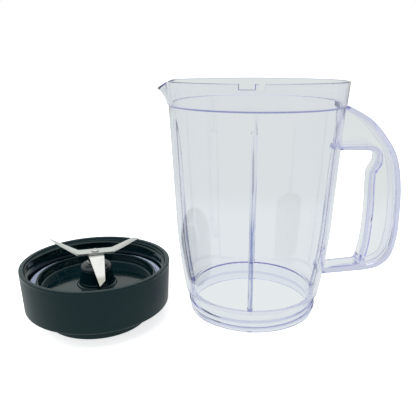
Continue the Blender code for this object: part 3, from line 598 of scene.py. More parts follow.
@dataclass(frozen=True)
class TurnedMetal:
    """Metal with the fine rings that a lathe leaves around its axis.

    Attributes:
        name: the material's name.
        centre: the axis at the floor, in metres.
        bright: colour on the crests.
        dull: colour in the hollows.
        rough: lowest roughness.
        rings: number of rings in a metre.
    """

    name: str
    centre: Vector
    bright: tuple[float, float, float]
    dull: tuple[float, float, float]
    rough: float = 0.2
    rings: float = 5200.0

    def make(self) -> bpy.types.Material:
        """Return the material."""
        maker = MaterialMaker(self.name, Metallic=1.0)
        x, y, z = maker.axes(maker.moved(self.centre))
        reach = (x * x + y * y).root() + z
        rings = maker.rings(reach, self.rings)
        stain = maker.noise(300.0, 4.0).step(0.4, 0.75)
        maker.feed(
            Base_Color=maker.mix(rings * 0.5 + stain * 0.4, self.bright, self.dull),
            Roughness=self.rough + stain * 0.15 + rings * 0.08,
            Normal=maker.bump(rings, 0.000005),
        )
        return maker.material


@dataclass(frozen=True)
class SoftPart:
    """Rubber, silicone or felt: one colour broken by fine grain and a little bloom.

    Attributes:
        name: the material's name.
        base: main colour.
        bloom: colour of the paler patches.
        rough: roughness.
        grain: grain bumps in a metre.
        relief: depth of the grain, in metres.
    """

    name: str
    base: tuple[float, float, float]
    bloom: tuple[float, float, float]
    rough: float
    grain: float
    relief: float

    def make(self) -> bpy.types.Material:
        """Return the material."""
        maker = MaterialMaker(self.name)
        grain = maker.noise(self.grain, 4.0)
        cloud = maker.noise(90.0, 4.0).step(0.35, 0.8)
        maker.feed(
            Base_Color=maker.mix(cloud * 0.6 + grain * 0.3, self.base, self.bloom),
            Roughness=self.rough + cloud * 0.08,
            Normal=maker.bump(grain, self.relief),
        )
        return maker.material


# ---------------------------------------------------------------------------- mesh helpers
@dataclass(frozen=True)
class Corner:
    """A corner of a turned profile, in millimetres.

    Attributes:
        r: distance from the axis.
        z: height.
        ease: how far from the corner its rounding starts.
    """

    r: float
    z: float
    ease: float = 0.0


def rounded(corners: Sequence[Corner], steps: int = 4) -> list[Point]:
    """Return a closed outline with its corners rounded, and a guard point beyond each rounding.

    Args:
        corners: the outline's corners in order.
        steps: number of spans in each rounded corner.
    Returns:
        The points of the outline.
    """
    points: list[Point] = []
    for i, corner in enumerate(corners):
        here = Vector((corner.r, corner.z))
        if corner.ease <= 0.0:
            points.append((here.x, here.y))
            continue
        ends, guards = [], []
        for other in (corners[i - 1], corners[(i + 1) % len(corners)]):
            way = Vector((other.r, other.z)) - here
            end = here + way.normalized() * min(corner.ease, 0.49 * way.length)
            guard = here + (end - here) * 1.5
            ends.append(end)
            guards.append([(guard.x, guard.y)] if (guard - here).length < 0.45 * way.length else [])
        points += guards[0]
        for j in range(steps + 1):
            t = j / steps
            spot = ends[0] * (1 - t) ** 2 + here * 2 * t * (1 - t) + ends[1] * t**2
            points.append((spot.x, spot.y))
        points += guards[1]
    return points


def smooth_path(points: Sequence[Point], per_span: int = 8) -> list[Point]:
    """Return points along a smooth curve through the given ones, ends kept.

    Args:
        points: the points that the curve goes through.
        per_span: number of steps between two of them.
    Returns:
        The points of the curve.
    """
    path: list[Point] = []
    for i in range(len(points) - 1):
        knots = [Vector(points[k]) for k in (max(i - 1, 0), i, i + 1, min(i + 2, len(points) - 1))]
        for j in range(per_span):
            t = j / per_span
            weights = (-t + 2 * t**2 - t**3, 2 - 5 * t**2 + 3 * t**3, t + 4 * t**2 - 3 * t**3, t**3 - t**2)
            spot = sum((knot * weight / 2 for knot, weight in zip(knots, weights)), Vector((0.0, 0.0)))
            path.append((spot.x, spot.y))
    path.append(tuple(points[-1]))
    return path


def lathe(profile: Sequence[Point], steps: int = FINE_STEPS) -> bmesh.types.BMesh:
    """Turn a closed profile about Z into one closed body.

    Args:
        profile: radius and height of each point, in millimetres.
        steps: number of sides.
    Returns:
        A bmesh in metres.
    """
    bm = bmesh.new()
    verts = [bm.verts.new((r * MM, 0.0, z * MM)) for r, z in profile]
    edges = [bm.edges.new((verts[i - 1], verts[i])) for i in range(len(verts))]
    bmesh.ops.spin(
        bm,
        geom=verts + edges,
        cent=(0.0, 0.0, 0.0),
        axis=(0.0, 0.0, 1.0),
        angle=math.tau,
        steps=steps,
        use_merge=True,
    )
    bmesh.ops.remove_doubles(bm, verts=bm.verts, dist=MERGE)
    bmesh.ops.dissolve_degenerate(bm, edges=bm.edges, dist=MERGE)
    bmesh.ops.recalc_face_normals(bm, faces=bm.faces)
    return bm


def plate(outline: Sequence[Point], thickness: float) -> bmesh.types.BMesh:
    """Extrude a closed outline into a plate that is centred on z = 0.

    Args:
        outline: the plate's corners in order, in millimetres.
        thickness: in millimetres.
    Returns:
        A bmesh in metres.
    """
    bm = bmesh.new()
    verts = [bm.verts.new((x * MM, y * MM, -thickness * MM / 2)) for x, y in outline]
    face = bm.faces.new(verts)
    grown = bmesh.ops.extrude_face_region(bm, geom=[face], use_keep_orig=True)
    top = [g for g in grown["geom"] if isinstance(g, bmesh.types.BMVert)]
    bmesh.ops.translate(bm, verts=top, vec=(0.0, 0.0, thickness * MM))
    bmesh.ops.recalc_face_normals(bm, faces=bm.faces)
    return bm


def box_mesh(size: Sequence[float], middle: Sequence[float], turn: float) -> bmesh.types.BMesh:
    """Return a box in metres, made from millimetres, centred on middle and turned about Z."""
    bm = bmesh.new()
    bmesh.ops.create_cube(bm, size=1.0)
    bmesh.ops.scale(bm, verts=bm.verts, vec=Vector(size) * MM)
    bmesh.ops.translate(bm, verts=bm.verts, vec=Vector(middle) * MM)
    bmesh.ops.rotate(bm, verts=bm.verts, matrix=Matrix.Rotation(turn, 3, "Z"))
    return bm


def soften(bm: bmesh.types.BMesh, width: float, sharper: float, segments: int = 2) -> None:
    """Round every edge that is sharper than an angle.

    Args:
        bm: the mesh.
        width: width of the rounding, in millimetres.
        sharper: the least angle between two faces, in degrees.
        segments: number of spans across the rounding.
    """
    limit = math.radians(sharper)
    edges = [e for e in bm.edges if len(e.link_faces) == 2 and e.calc_face_angle(0.0) > limit]
    bmesh.ops.bevel(
        bm,
        geom=edges,
        offset=width * MM,
        offset_type="OFFSET",
        affect="EDGES",
        segments=segments,
        profile=0.5,
        material=-1,
        clamp_overlap=True,
    )


@dataclass(frozen=True)
class Ridge:
    """A thread ridge, in millimetres.

    Attributes:
        root: radius of its foot, sunk into its wall.
        crest: radius of its top.
        start: height of its first section's middle.
        pitch: rise in one turn.
        turns: number of turns.
        foot: width at the root.
        top: width at the crest.
    """

    root: float
    crest: float
    start: float
    pitch: float = 4.6
    turns: float = 1.5
    foot: float = 2.6
    top: float = 1.2
    fade: int = 14  # steps over which each end sinks into the wall

    def build(self) -> bmesh.types.BMesh:
        """Wind the ridge and return its closed body in metres."""
        steps = round(self.turns * FINE_STEPS)
        bm = bmesh.new()
        lower = ((self.root, -self.foot), (self.crest, -self.top))
        spread = lower + tuple((r, -wide) for r, wide in reversed(lower))
        ring = [bm.verts.new((r * MM, 0.0, (self.start + wide / 2) * MM)) for r, wide in spread]
        face = bm.faces.new(ring)
        turn = Matrix.Rotation(math.tau / FINE_STEPS, 3, "Z")
        rise = Vector((0.0, 0.0, self.pitch / FINE_STEPS * MM))
        sections = [list(face.verts)]
        for _ in range(steps):
            grown = bmesh.ops.extrude_discrete_faces(bm, faces=[face])
            face = grown["faces"][0]
            bmesh.ops.rotate(bm, verts=face.verts, matrix=turn)
            bmesh.ops.translate(bm, verts=face.verts, vec=rise)
            sections.append(list(face.verts))
        for index, section in enumerate(sections):
            share = min(index, steps - index) / self.fade
            if share < 1.0:
                self._sink(section, math.sin(share * math.pi / 2))
        bmesh.ops.recalc_face_normals(bm, faces=bm.faces)
        return bm

    def _sink(self, section: Sequence[bmesh.types.BMVert], share: float) -> None:
        """Draw one section's crest back towards its root."""
        for vert in section:
            radius = vert.co.xy.length / MM
            wanted = self.root + (radius - self.root) * max(share, 0.02)
            vert.co.xy = vert.co.xy.normalized() * wanted * MM


def settle(bm: bmesh.types.BMesh, name: str) -> bpy.types.Object:
    """Turn a bmesh into an object that is linked to the scene."""
    mesh = bpy.data.meshes.new(name)
    bm.to_mesh(mesh)
    bm.free()
    thing = bpy.data.objects.new(name, mesh)
    bpy.context.scene.collection.objects.link(thing)
    return thing


def discard(thing: bpy.types.Object) -> None:
    """Delete an object and its mesh."""
    mesh = thing.data
    bpy.data.objects.remove(thing)
    bpy.data.meshes.remove(mesh)


def unwrap(piece: bpy.types.Object) -> bmesh.types.BMesh:
    """Turn an object back into a bmesh and delete the object."""
    bm = bmesh.new()
    bm.from_mesh(piece.data)
    discard(piece)
    return bm


def carve(piece: bpy.types.Object, tools: Sequence[tuple[Cut, bmesh.types.BMesh]]) -> None:
    """Join solids to a piece or remove them from it, in order.

    Args:
        piece: the object whose mesh is changed.
        tools: what is done, and the solid that does it.
    """
    helpers = []
    for index, (cut, bm) in enumerate(tools):
        helper = settle(bm, f"{piece.name}_tool_{index + 1}")
        change = piece.modifiers.new(helper.name, "BOOLEAN")
        change.operation = cut.value
        change.object = helper
        change.solver = "EXACT"
        helpers.append(helper)
    bpy.context.view_layer.update()
    graph = bpy.context.evaluated_depsgraph_get()
    old = piece.data
    piece.data = bpy.data.meshes.new_from_object(piece.evaluated_get(graph))
    piece.modifiers.clear()
    bpy.data.meshes.remove(old)
    for helper in helpers:
        discard(helper)


def dress(
    piece: bpy.types.Object,
    finish: bpy.types.Material,
    body: Body,
    nodes: Sequence[str],
    sharp: float = 32.0,
) -> bpy.types.Object:
    """Finish a piece: shading, material, and its link to the frame.

    Args:
        piece: the object, already in place.
        finish: its material.
        body: the body that it rides on.
        nodes: the CAD nodes that it stands for.
        sharp: angle past which an edge stays sharp, in degrees.
    Returns:
        The same object.
    """
    piece.data.materials.clear()
    piece.data.materials.append(finish)
    piece.data.shade_smooth()
    piece.data.set_sharp_from_angle(angle=math.radians(sharp))
    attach(piece, body.value)
    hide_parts(*nodes)
    LOG.info("%s: %d faces on %s", piece.name, len(piece.data.polygons), body.value)
    return piece


def put(bm: bmesh.types.BMesh, name: str, axis: Vector) -> bpy.types.Object:
    """Move a bmesh that is built round the origin to its axis, and make it an object."""
    bmesh.ops.translate(bm, verts=bm.verts, vec=axis)
    return settle(bm, name)


@dataclass(frozen=True)
class Extent:
    """How far a round CAD node reaches, in millimetres."""

    low: float
    high: float
    radius: float

    @classmethod
    def of(cls, node: str) -> "Extent":
        """Measure a CAD node."""
        low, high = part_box(node)
        return cls(low.z / MM, high.z / MM, (high.y - low.y) / 2 / MM)


# ---------------------------------------------------------------------------- jug
@dataclass
class Jug:
    """The clear jug: tapered wall, lid rim with lip and notches, ribs, threaded neck and handle."""

    wall: float = 2.6
    shoulder_drop: float = 16.8
    shoulder_radius: float = 61.8
    shoulder_step: float = 0.7
    neck_height: float = 14.0
    neck_radius: float = 47.2
    flank_overhang: float = 7.5
    neck_slope: float = 2.2
    thread_turn: float = math.radians(198.0)  # where the neck's thread starts
    tuck: float = 3.9
    tuck_height: float = 54.0
    ledge_rise: float = 0.8
    rib_count: int = 4
    rib_turn: float = math.radians(-6.0)
    rib_width: float = 3.4
    rib_depth: float = 3.2
    rib_top_drop: float = 26.0
    rib_run_out: float = 34.0
    lip_reach: float = 6.3
    lip_dip: float = 5.3
    lip_half_angle: float = math.radians(17.0)
    notch_depth: float = 3.2
    notch_widths: tuple[float, float] = (9.6, 3.8)
    notch_post: float = 2.2
    notch_turn: float = math.radians(-100.5)
    handle_depth: float = 17.0
    handle_flange: float = 3.0
    handle_web: float = 3.0
    handle_foot: float = 28.4
    grip: float = 22.5
    arm: float = 3.8
    arm_rise: float = 3.2
    gap_top_drop: float = 48.0
    hook: float = 3.6
    axis: Vector = field(init=False)
    height: float = field(init=False)
    rim: float = field(init=False)
    reach: float = field(init=False)

    def __post_init__(self) -> None:
        """Read the jug's place and its overall sizes from the frame."""
        low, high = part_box("jar_body")
        self.height = high.z / MM
        self.rim = (high.y - low.y) / 2 / MM
        self.axis = Vector((high.x - self.rim * MM, (low.y + high.y) / 2, 0.0))
        self.reach = (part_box("jar_handle")[1].x - self.axis.x) / MM

    @property
    def shoulder(self) -> float:
        """Height of the line where the lid rim starts."""
        return self.height - self.shoulder_drop

    @property
    def flank_foot(self) -> float:
        """Height of the flank's lower end."""
        return self.neck_height + self.neck_slope

    @property
    def ledge(self) -> float:
        """Height of the ledge inside, above the neck."""
        return self.flank_foot + self.ledge_rise

    def flank(self, height: float) -> float:
        """Return the outer radius at a height between the neck and the shoulder."""
        share = (height - self.flank_foot) / (self.shoulder - self.flank_foot)
        foot = self.neck_radius + self.flank_overhang
        straight = foot + (self.shoulder_radius - foot) * share
        below = max(0.0, 1.0 - (height - self.flank_foot) / self.tuck_height)
        return straight - self.tuck * below**2

    def levels(self) -> list[float]:
        """Return the heights of the flank's rings, from its foot up."""
        curved = [self.flank_foot + self.tuck_height * i / 14 for i in range(15)]
        rest = self.shoulder - curved[-1]
        return curved + [curved[-1] + rest * i / 8 for i in range(1, 9)]

    def profile(self) -> list[Point]:
        """Return the wall's closed profile, outer side first."""
        rim_foot = self.shoulder_radius + self.shoulder_step
        bore = self.rim - self.wall
        neck_bore = self.neck_radius - self.wall
        outer = [Corner(self.rim, self.height, 0.7)]
        drop = self.shoulder_drop - 0.9
        shares = [i / 5 for i in range(1, 5)]
        outer += [Corner(self.rim + (rim_foot - self.rim) * t, self.height - drop * t) for t in shares]
        outer += [Corner(rim_foot, self.shoulder + 0.9, 0.3)]
        outer += [Corner(self.shoulder_radius, self.shoulder + 0.3, 0.25)]
        outer += [Corner(self.flank(h), h) for h in reversed(self.levels())]
        outer += [Corner(self.neck_radius, self.neck_height, 0.7), Corner(self.neck_radius, 0.0, 0.8)]
        inner = [Corner(neck_bore, 0.0, 0.6), Corner(neck_bore, self.ledge, 1.0)]
        inner += [Corner(self.flank(self.ledge + 0.4) - self.wall, self.ledge + 0.4, 0.5)]
        inner += [Corner(self.flank(h) - self.wall, h) for h in self.levels()[1:]]
        straight = self.shoulder_radius - self.wall
        inner += [
            Corner(straight + (bore - straight) * t, self.shoulder + self.shoulder_drop * t) for t in shares
        ]
        inner += [Corner(bore, self.height, 0.5)]
        return rounded(outer + inner)

    def pull_lip(self, bm: bmesh.types.BMesh) -> None:
        """Draw the pouring lip out of the lid rim, opposite the handle."""
        for vert in bm.verts:
            rise = (vert.co.z / MM - self.shoulder) / self.shoulder_drop
            away = math.pi - abs(math.atan2(vert.co.y, vert.co.x))
            if rise <= 0.0 or away >= self.lip_half_angle:
                continue
            across = math.cos(away / self.lip_half_angle * math.pi / 2) ** 1.6
            vert.co.x -= self.lip_reach * MM * across * rise**1.4
            vert.co.z -= self.lip_dip * MM * across * rise**2

    def rib(self, index: int) -> bmesh.types.BMesh:
        """Return one rib, standing in its place round the jug's axis."""
        bottom = self.ledge + 0.6
        top = self.height - self.rib_top_drop
        heights = [bottom + (top - bottom) * i / 28 for i in range(29)]
        rooted = [(self.flank(h) - self.wall / 2, h) for h in heights]
        face = []
        for height in heights:
            fade = min(1.0, (top - height) / self.rib_run_out)
            depth = self.rib_depth * fade**0.5 - (0.2 if fade == 0.0 else 0.0)
            face.append((self.flank(height) - self.wall - depth, height))
        bm = plate(rooted + face[::-1], self.rib_width)
        nose = [
            e
            for e in bm.edges
            if len(e.link_faces) == 2
            and all(v.co.x < (self.flank(v.co.y / MM) - self.wall - 0.4) * MM for v in e.verts)
            and 0.3 < e.calc_face_angle(0.0)
            and abs(e.verts[0].co.z - e.verts[1].co.z) < MERGE
        ]
        bmesh.ops.bevel(
            bm,
            geom=nose,
            offset=1.1 * MM,
            affect="EDGES",
            segments=4,
            profile=0.5,
            material=-1,
            clamp_overlap=True,
        )
        stand = Matrix.Rotation(math.pi / 2, 3, "X")
        turn = Matrix.Rotation(self.rib_turn + math.tau * index / self.rib_count, 3, "Z")
        bmesh.ops.rotate(bm, verts=bm.verts, matrix=turn @ stand)
        return bm

    def notches(self) -> list[bmesh.types.BMesh]:
        """Return the boxes that cut the lid's two notches."""
        wide, small = self.notch_widths
        boxes = []
        for width, along in ((wide, 0.0), (small, (wide + small) / 2 + self.notch_post)):
            tall = self.notch_depth + 1.0
            middle = (self.rim - self.wall / 2, 0.0, self.height - self.notch_depth + tall / 2)
            boxes.append(box_mesh((3 * self.wall, width, tall), middle, self.notch_turn + along / self.rim))
        return boxes

    def handle_outer(self) -> list[Point]:
        """Return the handle's outer outline, from the shoulder round to the foot of its arm."""
        top = self.shoulder - 0.4
        span = top - self.handle_foot
        reach, foot = self.reach, self.handle_foot
        return smooth_path(
            [
                (self.shoulder_radius - self.wall, top + 0.6),
                (self.shoulder_radius + 4.0, top - 0.6),
                (reach - 26.5, top - 9.0),
                (reach - 15.5, top - 20.5),
                (reach - 6.0, top - 36.0),
                (reach - 1.2, top - span / 2 + 4.0),
                (reach, top - span * 0.68),
                (reach - 0.8, foot + 26.0),
                (reach - 3.6, foot + 14.5),
                (reach - 9.6, foot + 7.2),
                (reach - 19.0, foot + 3.4),
                (reach - 36.0, foot + 1.4),
                (self.flank(foot) - self.wall, foot - 0.6),
            ]
        )

    def finger_gap(self) -> list[Point]:
        """Return the finger gap's outline, from the wall at its top round to the wall at its foot."""
        top = self.height - self.gap_top_drop
        foot = self.handle_foot + self.arm
        grip = self.reach - self.grip
        curve = smooth_path(
            [
                (grip - 5.0, top),
                (grip + 1.6, top - 1.4),
                (grip + self.hook - 0.4, top - 5.0),
                (grip + self.hook - 0.6, top - 9.6),
                (grip - 0.4, top - 16.0),
                (grip - 0.8, top - 22.0),
                (grip, top - 46.0),
                (grip - 0.8, foot + 22.0),
                (grip - 3.4, foot + self.arm_rise + 3.0),
                (grip - 6.0, foot + self.arm_rise),
            ]
        )
        return [(self.flank(top) - self.wall, top)] + curve + [(self.flank(foot) - self.wall, foot)]

    @staticmethod
    def inset(path: Sequence[Point], distance: float) -> list[Point]:
        """Move an open path sideways, to its left, by a distance."""
        moved = []
        for i, (x, y) in enumerate(path):
            before, after = path[max(i - 1, 0)], path[min(i + 1, len(path) - 1)]
            along = Vector((after[0] - before[0], after[1] - before[1])).normalized()
            moved.append((x - along.y * distance, y + along.x * distance))
        return moved

    def pocket(self) -> list[Point]:
        """Return the outline of the recess on each side of the handle's web."""
        outer = self.inset(self.handle_outer(), -self.handle_flange)
        inner = self.inset(self.finger_gap(), self.handle_flange)
        floor = self.handle_foot + self.arm + self.arm_rise + self.handle_flange
        foot = self.reach - self.grip + 0.4
        middle = self.height / 2
        outer = [(x, y) for x, y in outer if (y > floor or x > foot - 0.4) and (x > foot or y > middle)]
        return outer + [p for p in inner if p[1] > floor][::-1]

    def handle(self) -> bpy.types.Object:
        """Return the I-section handle with rounded edges, reaching into the jug's wall."""
        grip = plate(self.handle_outer() + self.finger_gap()[::-1], self.handle_depth)
        piece = settle(grip, "handle_blank")
        recess = (self.handle_depth - self.handle_web) / 2
        tools = []
        for side in (-1, 1):
            tool = plate(self.pocket(), recess + 1.0)
            away = side * (self.handle_web / 2 + (recess + 1.0) / 2)
            bmesh.ops.translate(tool, verts=tool.verts, vec=(0.0, 0.0, away * MM))
            tools.append((Cut.REMOVE, tool))
        carve(piece, tools)
        return piece

    def marks(self) -> JugMarks:
        """Return where the plastic's painted light and shade tints go."""
        web = self.handle_web / 2 * MM
        foot = self.handle_foot + self.arm
        low = self.axis + Vector(((self.shoulder_radius + 1.0) * MM, -web, (foot + 6.0) * MM))
        high = self.axis + Vector(((self.reach - self.handle_flange) * MM, web, self.shoulder * MM))
        gap_top = self.height - self.gap_top_drop
        deep = self.handle_depth / 2
        corners = [(self.shoulder_radius + 1.5, -deep, self.shoulder - 0.8)]
        corners += [(self.flank(gap_top) + 0.4, -deep, gap_top), (self.flank(gap_top) + 0.4, deep, gap_top)]
        corners += [(self.flank(self.handle_foot) + 0.4, -deep, self.handle_foot)]
        return JugMarks(
            centre=self.axis,
            web=(low, high),
            height=self.height * MM,
            shoulder=(self.shoulder * MM, (self.shoulder_radius - 0.6) * MM),
            flank=(
                ((self.neck_radius + self.flank_overhang) * MM, self.flank_foot * MM),
                (self.shoulder_radius * MM, self.shoulder * MM),
            ),
            tuck=(self.tuck * MM, self.tuck_height * MM),
            nose=(self.wall + 2.0) * MM,
            rib_foot=(self.ledge + 0.6) * MM,
            rib_turn=self.rib_turn,
            neck=(self.neck_height * MM, self.neck_radius * MM),
            notch=(self.notch_turn, self.notch_widths[0] / 2 * MM, (self.height - self.notch_depth) * MM),
            corners=tuple(self.axis + Vector(corner) * MM for corner in corners),
        )

    def inside(self) -> bmesh.types.BMesh:
        """Return the space that the jug's wall and hollow take, up to the middle of the wall."""
        middle = self.wall / 2
        side = [(self.flank(h) - middle, h) for h in reversed(self.levels())]
        return lathe([(0.0, self.shoulder), *side, (0.0, self.flank_foot)])

    def build(self, finish: bpy.types.Material) -> bpy.types.Object:
        """Build the jug as the one clear moulding that it is.

        Args:
            finish: the clear plastic.
        Returns:
            The jug, in place.
        """
        bm = unwrap(self.handle())
        bmesh.ops.dissolve_limit(bm, angle_limit=math.radians(1.0), verts=bm.verts, edges=bm.edges)
        soften(bm, 0.7, 50.0, 3)
        bmesh.ops.rotate(bm, verts=bm.verts, matrix=Matrix.Rotation(math.pi / 2, 3, "X"))
        blank = settle(bm, "handle_trim")
        carve(blank, [(Cut.REMOVE, self.inside())])
        joined = unwrap(blank)
        shell = lathe(self.profile())
        self.pull_lip(shell)
        jug = settle(shell, "clear_jug")
        thread = Ridge(self.neck_radius - 0.4, self.neck_radius + 1.3, 2.9).build()
        bmesh.ops.rotate(thread, verts=thread.verts, matrix=Matrix.Rotation(self.thread_turn, 3, "Z"))
        tools = [(Cut.JOIN, self.rib(i)) for i in range(self.rib_count)]
        tools += [(Cut.JOIN, thread), (Cut.JOIN, joined)]
        tools += [(Cut.REMOVE, notch) for notch in self.notches()]
        carve(jug, tools)
        jug.data.transform(Matrix.Translation(self.axis))
        return dress(jug, finish, Body.JUG, ("jar_body", "jar_handle"), 28.0)


# ---------------------------------------------------------------------------- blade base
@dataclass
class BladeBase:
    """The black moulding with its collar, cup and boss, and what stands still in it."""

    collar_wall: float = 4.4
    taper: float = 1.6
    lift: float = 12.1
    skirt: float = 2.8
    foot: float = 37.3
    foot_wall: float = 2.4
    cup_floor: float = 25.5
    floor_wall: float = 2.5
    channel_step: float = 1.5
    ring_rise: float = 5.4
    ring_wall: float = 2.0
    ring_outer: float = 43.0
    boss_wall: float = 2.7
    boss_flare: float = 1.9
    boss_height: float = 12.7
    boss_drop: float = 8.5
    boss_tail_wall: float = 3.7
    skirt_ribs: int = 8
    thread_height: float = 1.3
    gap: float = 0.3
    shaft: float = 4.0
    axis: Vector = field(init=False)
    collar: Extent = field(init=False)
    sleeve: Extent = field(init=False)

    def __post_init__(self) -> None:
        """Read the base's place and its overall sizes from the frame."""
        low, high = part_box("base_housing")
        self.axis = Vector(((low.x + high.x) / 2, (low.y + high.y) / 2, 0.0))
        self.collar = Extent.of("base_housing")
        self.sleeve = Extent.of("bearing_sleeve")

    @property
    def bore(self) -> float:
        """Radius inside the collar."""
        return self.collar.radius - self.collar_wall

    def collar_side(self) -> list[Corner]:
        """Return the collar's outer side and skirt, from the rim down."""
        top, radius = self.collar.high, self.collar.radius
        low = radius - self.taper
        under = self.cup_floor - self.floor_wall
        return [
            Corner(radius, top, 0.9),
            Corner(low, self.lift, 1.3),
            Corner(low - self.skirt, self.lift, 0.4),
            Corner(low - self.skirt, under, 0.8),
        ]

    def underside(self) -> list[Corner]:
        """Return the foot and the boss's tail, seen from below."""
        under = self.cup_floor - self.floor_wall
        tail = self.cup_floor - self.boss_drop
        hole = self.sleeve.radius + self.gap
        return [
            Corner(self.foot, under, 0.8),
            Corner(self.foot, 0.0, 0.8),
            Corner(self.foot - self.foot_wall, 0.0, 0.5),
            Corner(self.foot - self.foot_wall, under, 0.8),
            Corner(hole + self.boss_tail_wall, under, 0.6),
            Corner(hole + self.boss_tail_wall, tail, 0.5),
            Corner(hole, tail, 0.3),
        ]

    def cup_side(self) -> list[Corner]:
        """Return the boss, cup floor, upstanding ring, seal channel and bore, from the hole out."""
        hole = self.sleeve.radius + self.gap
        top = self.cup_floor + self.boss_height
        boss = hole + self.boss_wall
        flare = boss + self.boss_flare
        inner = self.ring_outer - self.ring_wall
        channel = self.cup_floor + self.channel_step
        rim = self.collar.high
        return [
            Corner(hole, top, 0.3),
            Corner(boss, top, 0.6),
            Corner(boss + 0.75 * self.boss_flare, self.cup_floor + 3.1, 0.4),
            Corner(flare - 0.1, self.cup_floor + 2.7, 0.3),
            Corner(flare, self.cup_floor + 1.2, 0.3),
            Corner(flare + 1.3, self.cup_floor + 0.9, 0.3),
            Corner(flare + 1.5, self.cup_floor, 0.3),
            Corner(inner - 0.2, self.cup_floor, 1.8),
            Corner(inner + 0.2, channel + self.ring_rise, 0.7),
            Corner(self.ring_outer - 0.3, channel + self.ring_rise, 0.6),
            Corner(self.ring_outer, channel, 0.5),
            Corner(self.bore, channel, 0.8),
            Corner(self.bore, rim - 2.1, 0.4),
            Corner(self.bore + 0.9, rim - 1.3, 0.3),
            Corner(self.bore + 1.2, rim, 0.5),
        ]

    def housing(self, finish: bpy.types.Material) -> bpy.types.Object:
        """Build the black moulding with its inner thread and the ribs under its skirt."""
        bm = lathe(rounded(self.collar_side() + self.underside() + self.cup_side(), 5))
        piece = put(bm, "collar_and_cup", Vector())
        start = self.collar.high - 1.5 - 4.6 * 1.5 - 1.3
        tools = [(Cut.JOIN, Ridge(self.bore + 0.4, self.bore - self.thread_height, start).build())]
        skirt = self.collar.radius - self.taper - self.skirt
        low, high = self.lift + 2.0, self.cup_floor - self.floor_wall / 2
        for index in range(self.skirt_ribs):
            turn = math.tau * (index + 0.5) / self.skirt_ribs
            middle = ((skirt + self.foot) / 2, 0.0, (low + high) / 2)
            tools.append((Cut.JOIN, box_mesh((skirt - self.foot + 1.6, 2.0, high - low), middle, turn)))
        carve(piece, tools)
        piece.data.transform(Matrix.Translation(self.axis))
        return dress(piece, finish, Body.BASE, ("base_housing",), 28.0)

    def seal(self, finish: bpy.types.Material) -> bpy.types.Object:
        """Build the flat sealing ring with its two raised beads."""
        size = Extent.of("sealing_ring")
        inner = self.ring_outer + self.gap
        outer = size.radius
        third = (outer - inner) / 3
        top = size.high
        profile = [
            Corner(outer, top, 0.5),
            Corner(outer, size.low, 0.5),
            Corner(inner, size.low, 0.4),
            Corner(inner, top, 0.5),
            Corner(inner + third, top, 0.3),
            Corner(inner + 1.5 * third, top - 0.4, 0.3),
            Corner(outer - third, top, 0.3),
        ]
        piece = put(lathe(rounded(profile)), "jug_gasket", self.axis)
        return dress(piece, finish, Body.SEAL, ("sealing_ring",), 50.0)

    def cap(self, finish: bpy.types.Material) -> bpy.types.Object:
        """Build the domed cap over the bearing."""
        size = Extent.of("bearing_cap")
        hole = self.shaft + self.gap
        edge = size.radius
        profile = [
            Corner(hole, size.high - 0.5, 0.2),
            Corner(hole, size.low, 0.2),
            Corner(edge, size.low, 0.3),
            Corner(edge, size.high - 2.5, 0.5),
            Corner(edge - 0.9, size.high - 1.3, 0.9),
            Corner(edge - 2.6, size.high - 0.25, 1.0),
            Corner(hole + 1.6, size.high, 0.4),
            Corner(hole + 1.3, size.high - 0.5, 0.2),
        ]
        piece = put(lathe(rounded(profile[::-1], 5), SMALL_STEPS), "bearing_dome", self.axis)
        return dress(piece, finish, Body.BASE, ("bearing_cap",), 40.0)

    def nut(self, finish: bpy.types.Material) -> bpy.types.Object:
        """Build the chamfered hexagon nut under the boss."""
        size = Extent.of("bearing_nut")
        low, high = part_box("bearing_nut")
        corner = (high.x - low.x) / 2 / MM
        bm = lathe([(corner, size.high), (corner, size.low), (0.0, size.low), (0.0, size.high)], 6)
        piece = settle(bm, "clamp_nut")
        hole = self.sleeve.radius + self.gap
        flat = corner * math.cos(math.pi / 6)
        trim = [
            (corner + 3.0, size.high + 1.0),
            (corner + 3.0, size.low - 1.0),
            (flat - 0.3, size.low - 1.0),
            (flat - 0.3, size.low),
            (corner + 0.1, size.low + 0.9),
            (corner + 0.1, size.high - 0.9),
            (flat - 0.3, size.high),
            (flat - 0.3, size.high + 1.0),
        ]
        above, beneath = size.high + 1.0, size.low - 1.0
        bore = [(hole, above), (hole, beneath), (0.0, beneath), (0.0, above)]
        carve(piece, [(Cut.REMOVE, lathe(trim, SMALL_STEPS)), (Cut.REMOVE, lathe(bore, SMALL_STEPS))])
        piece.data.transform(Matrix.Translation(self.axis))
        return dress(piece, finish, Body.BASE, ("bearing_nut",), 20.0)


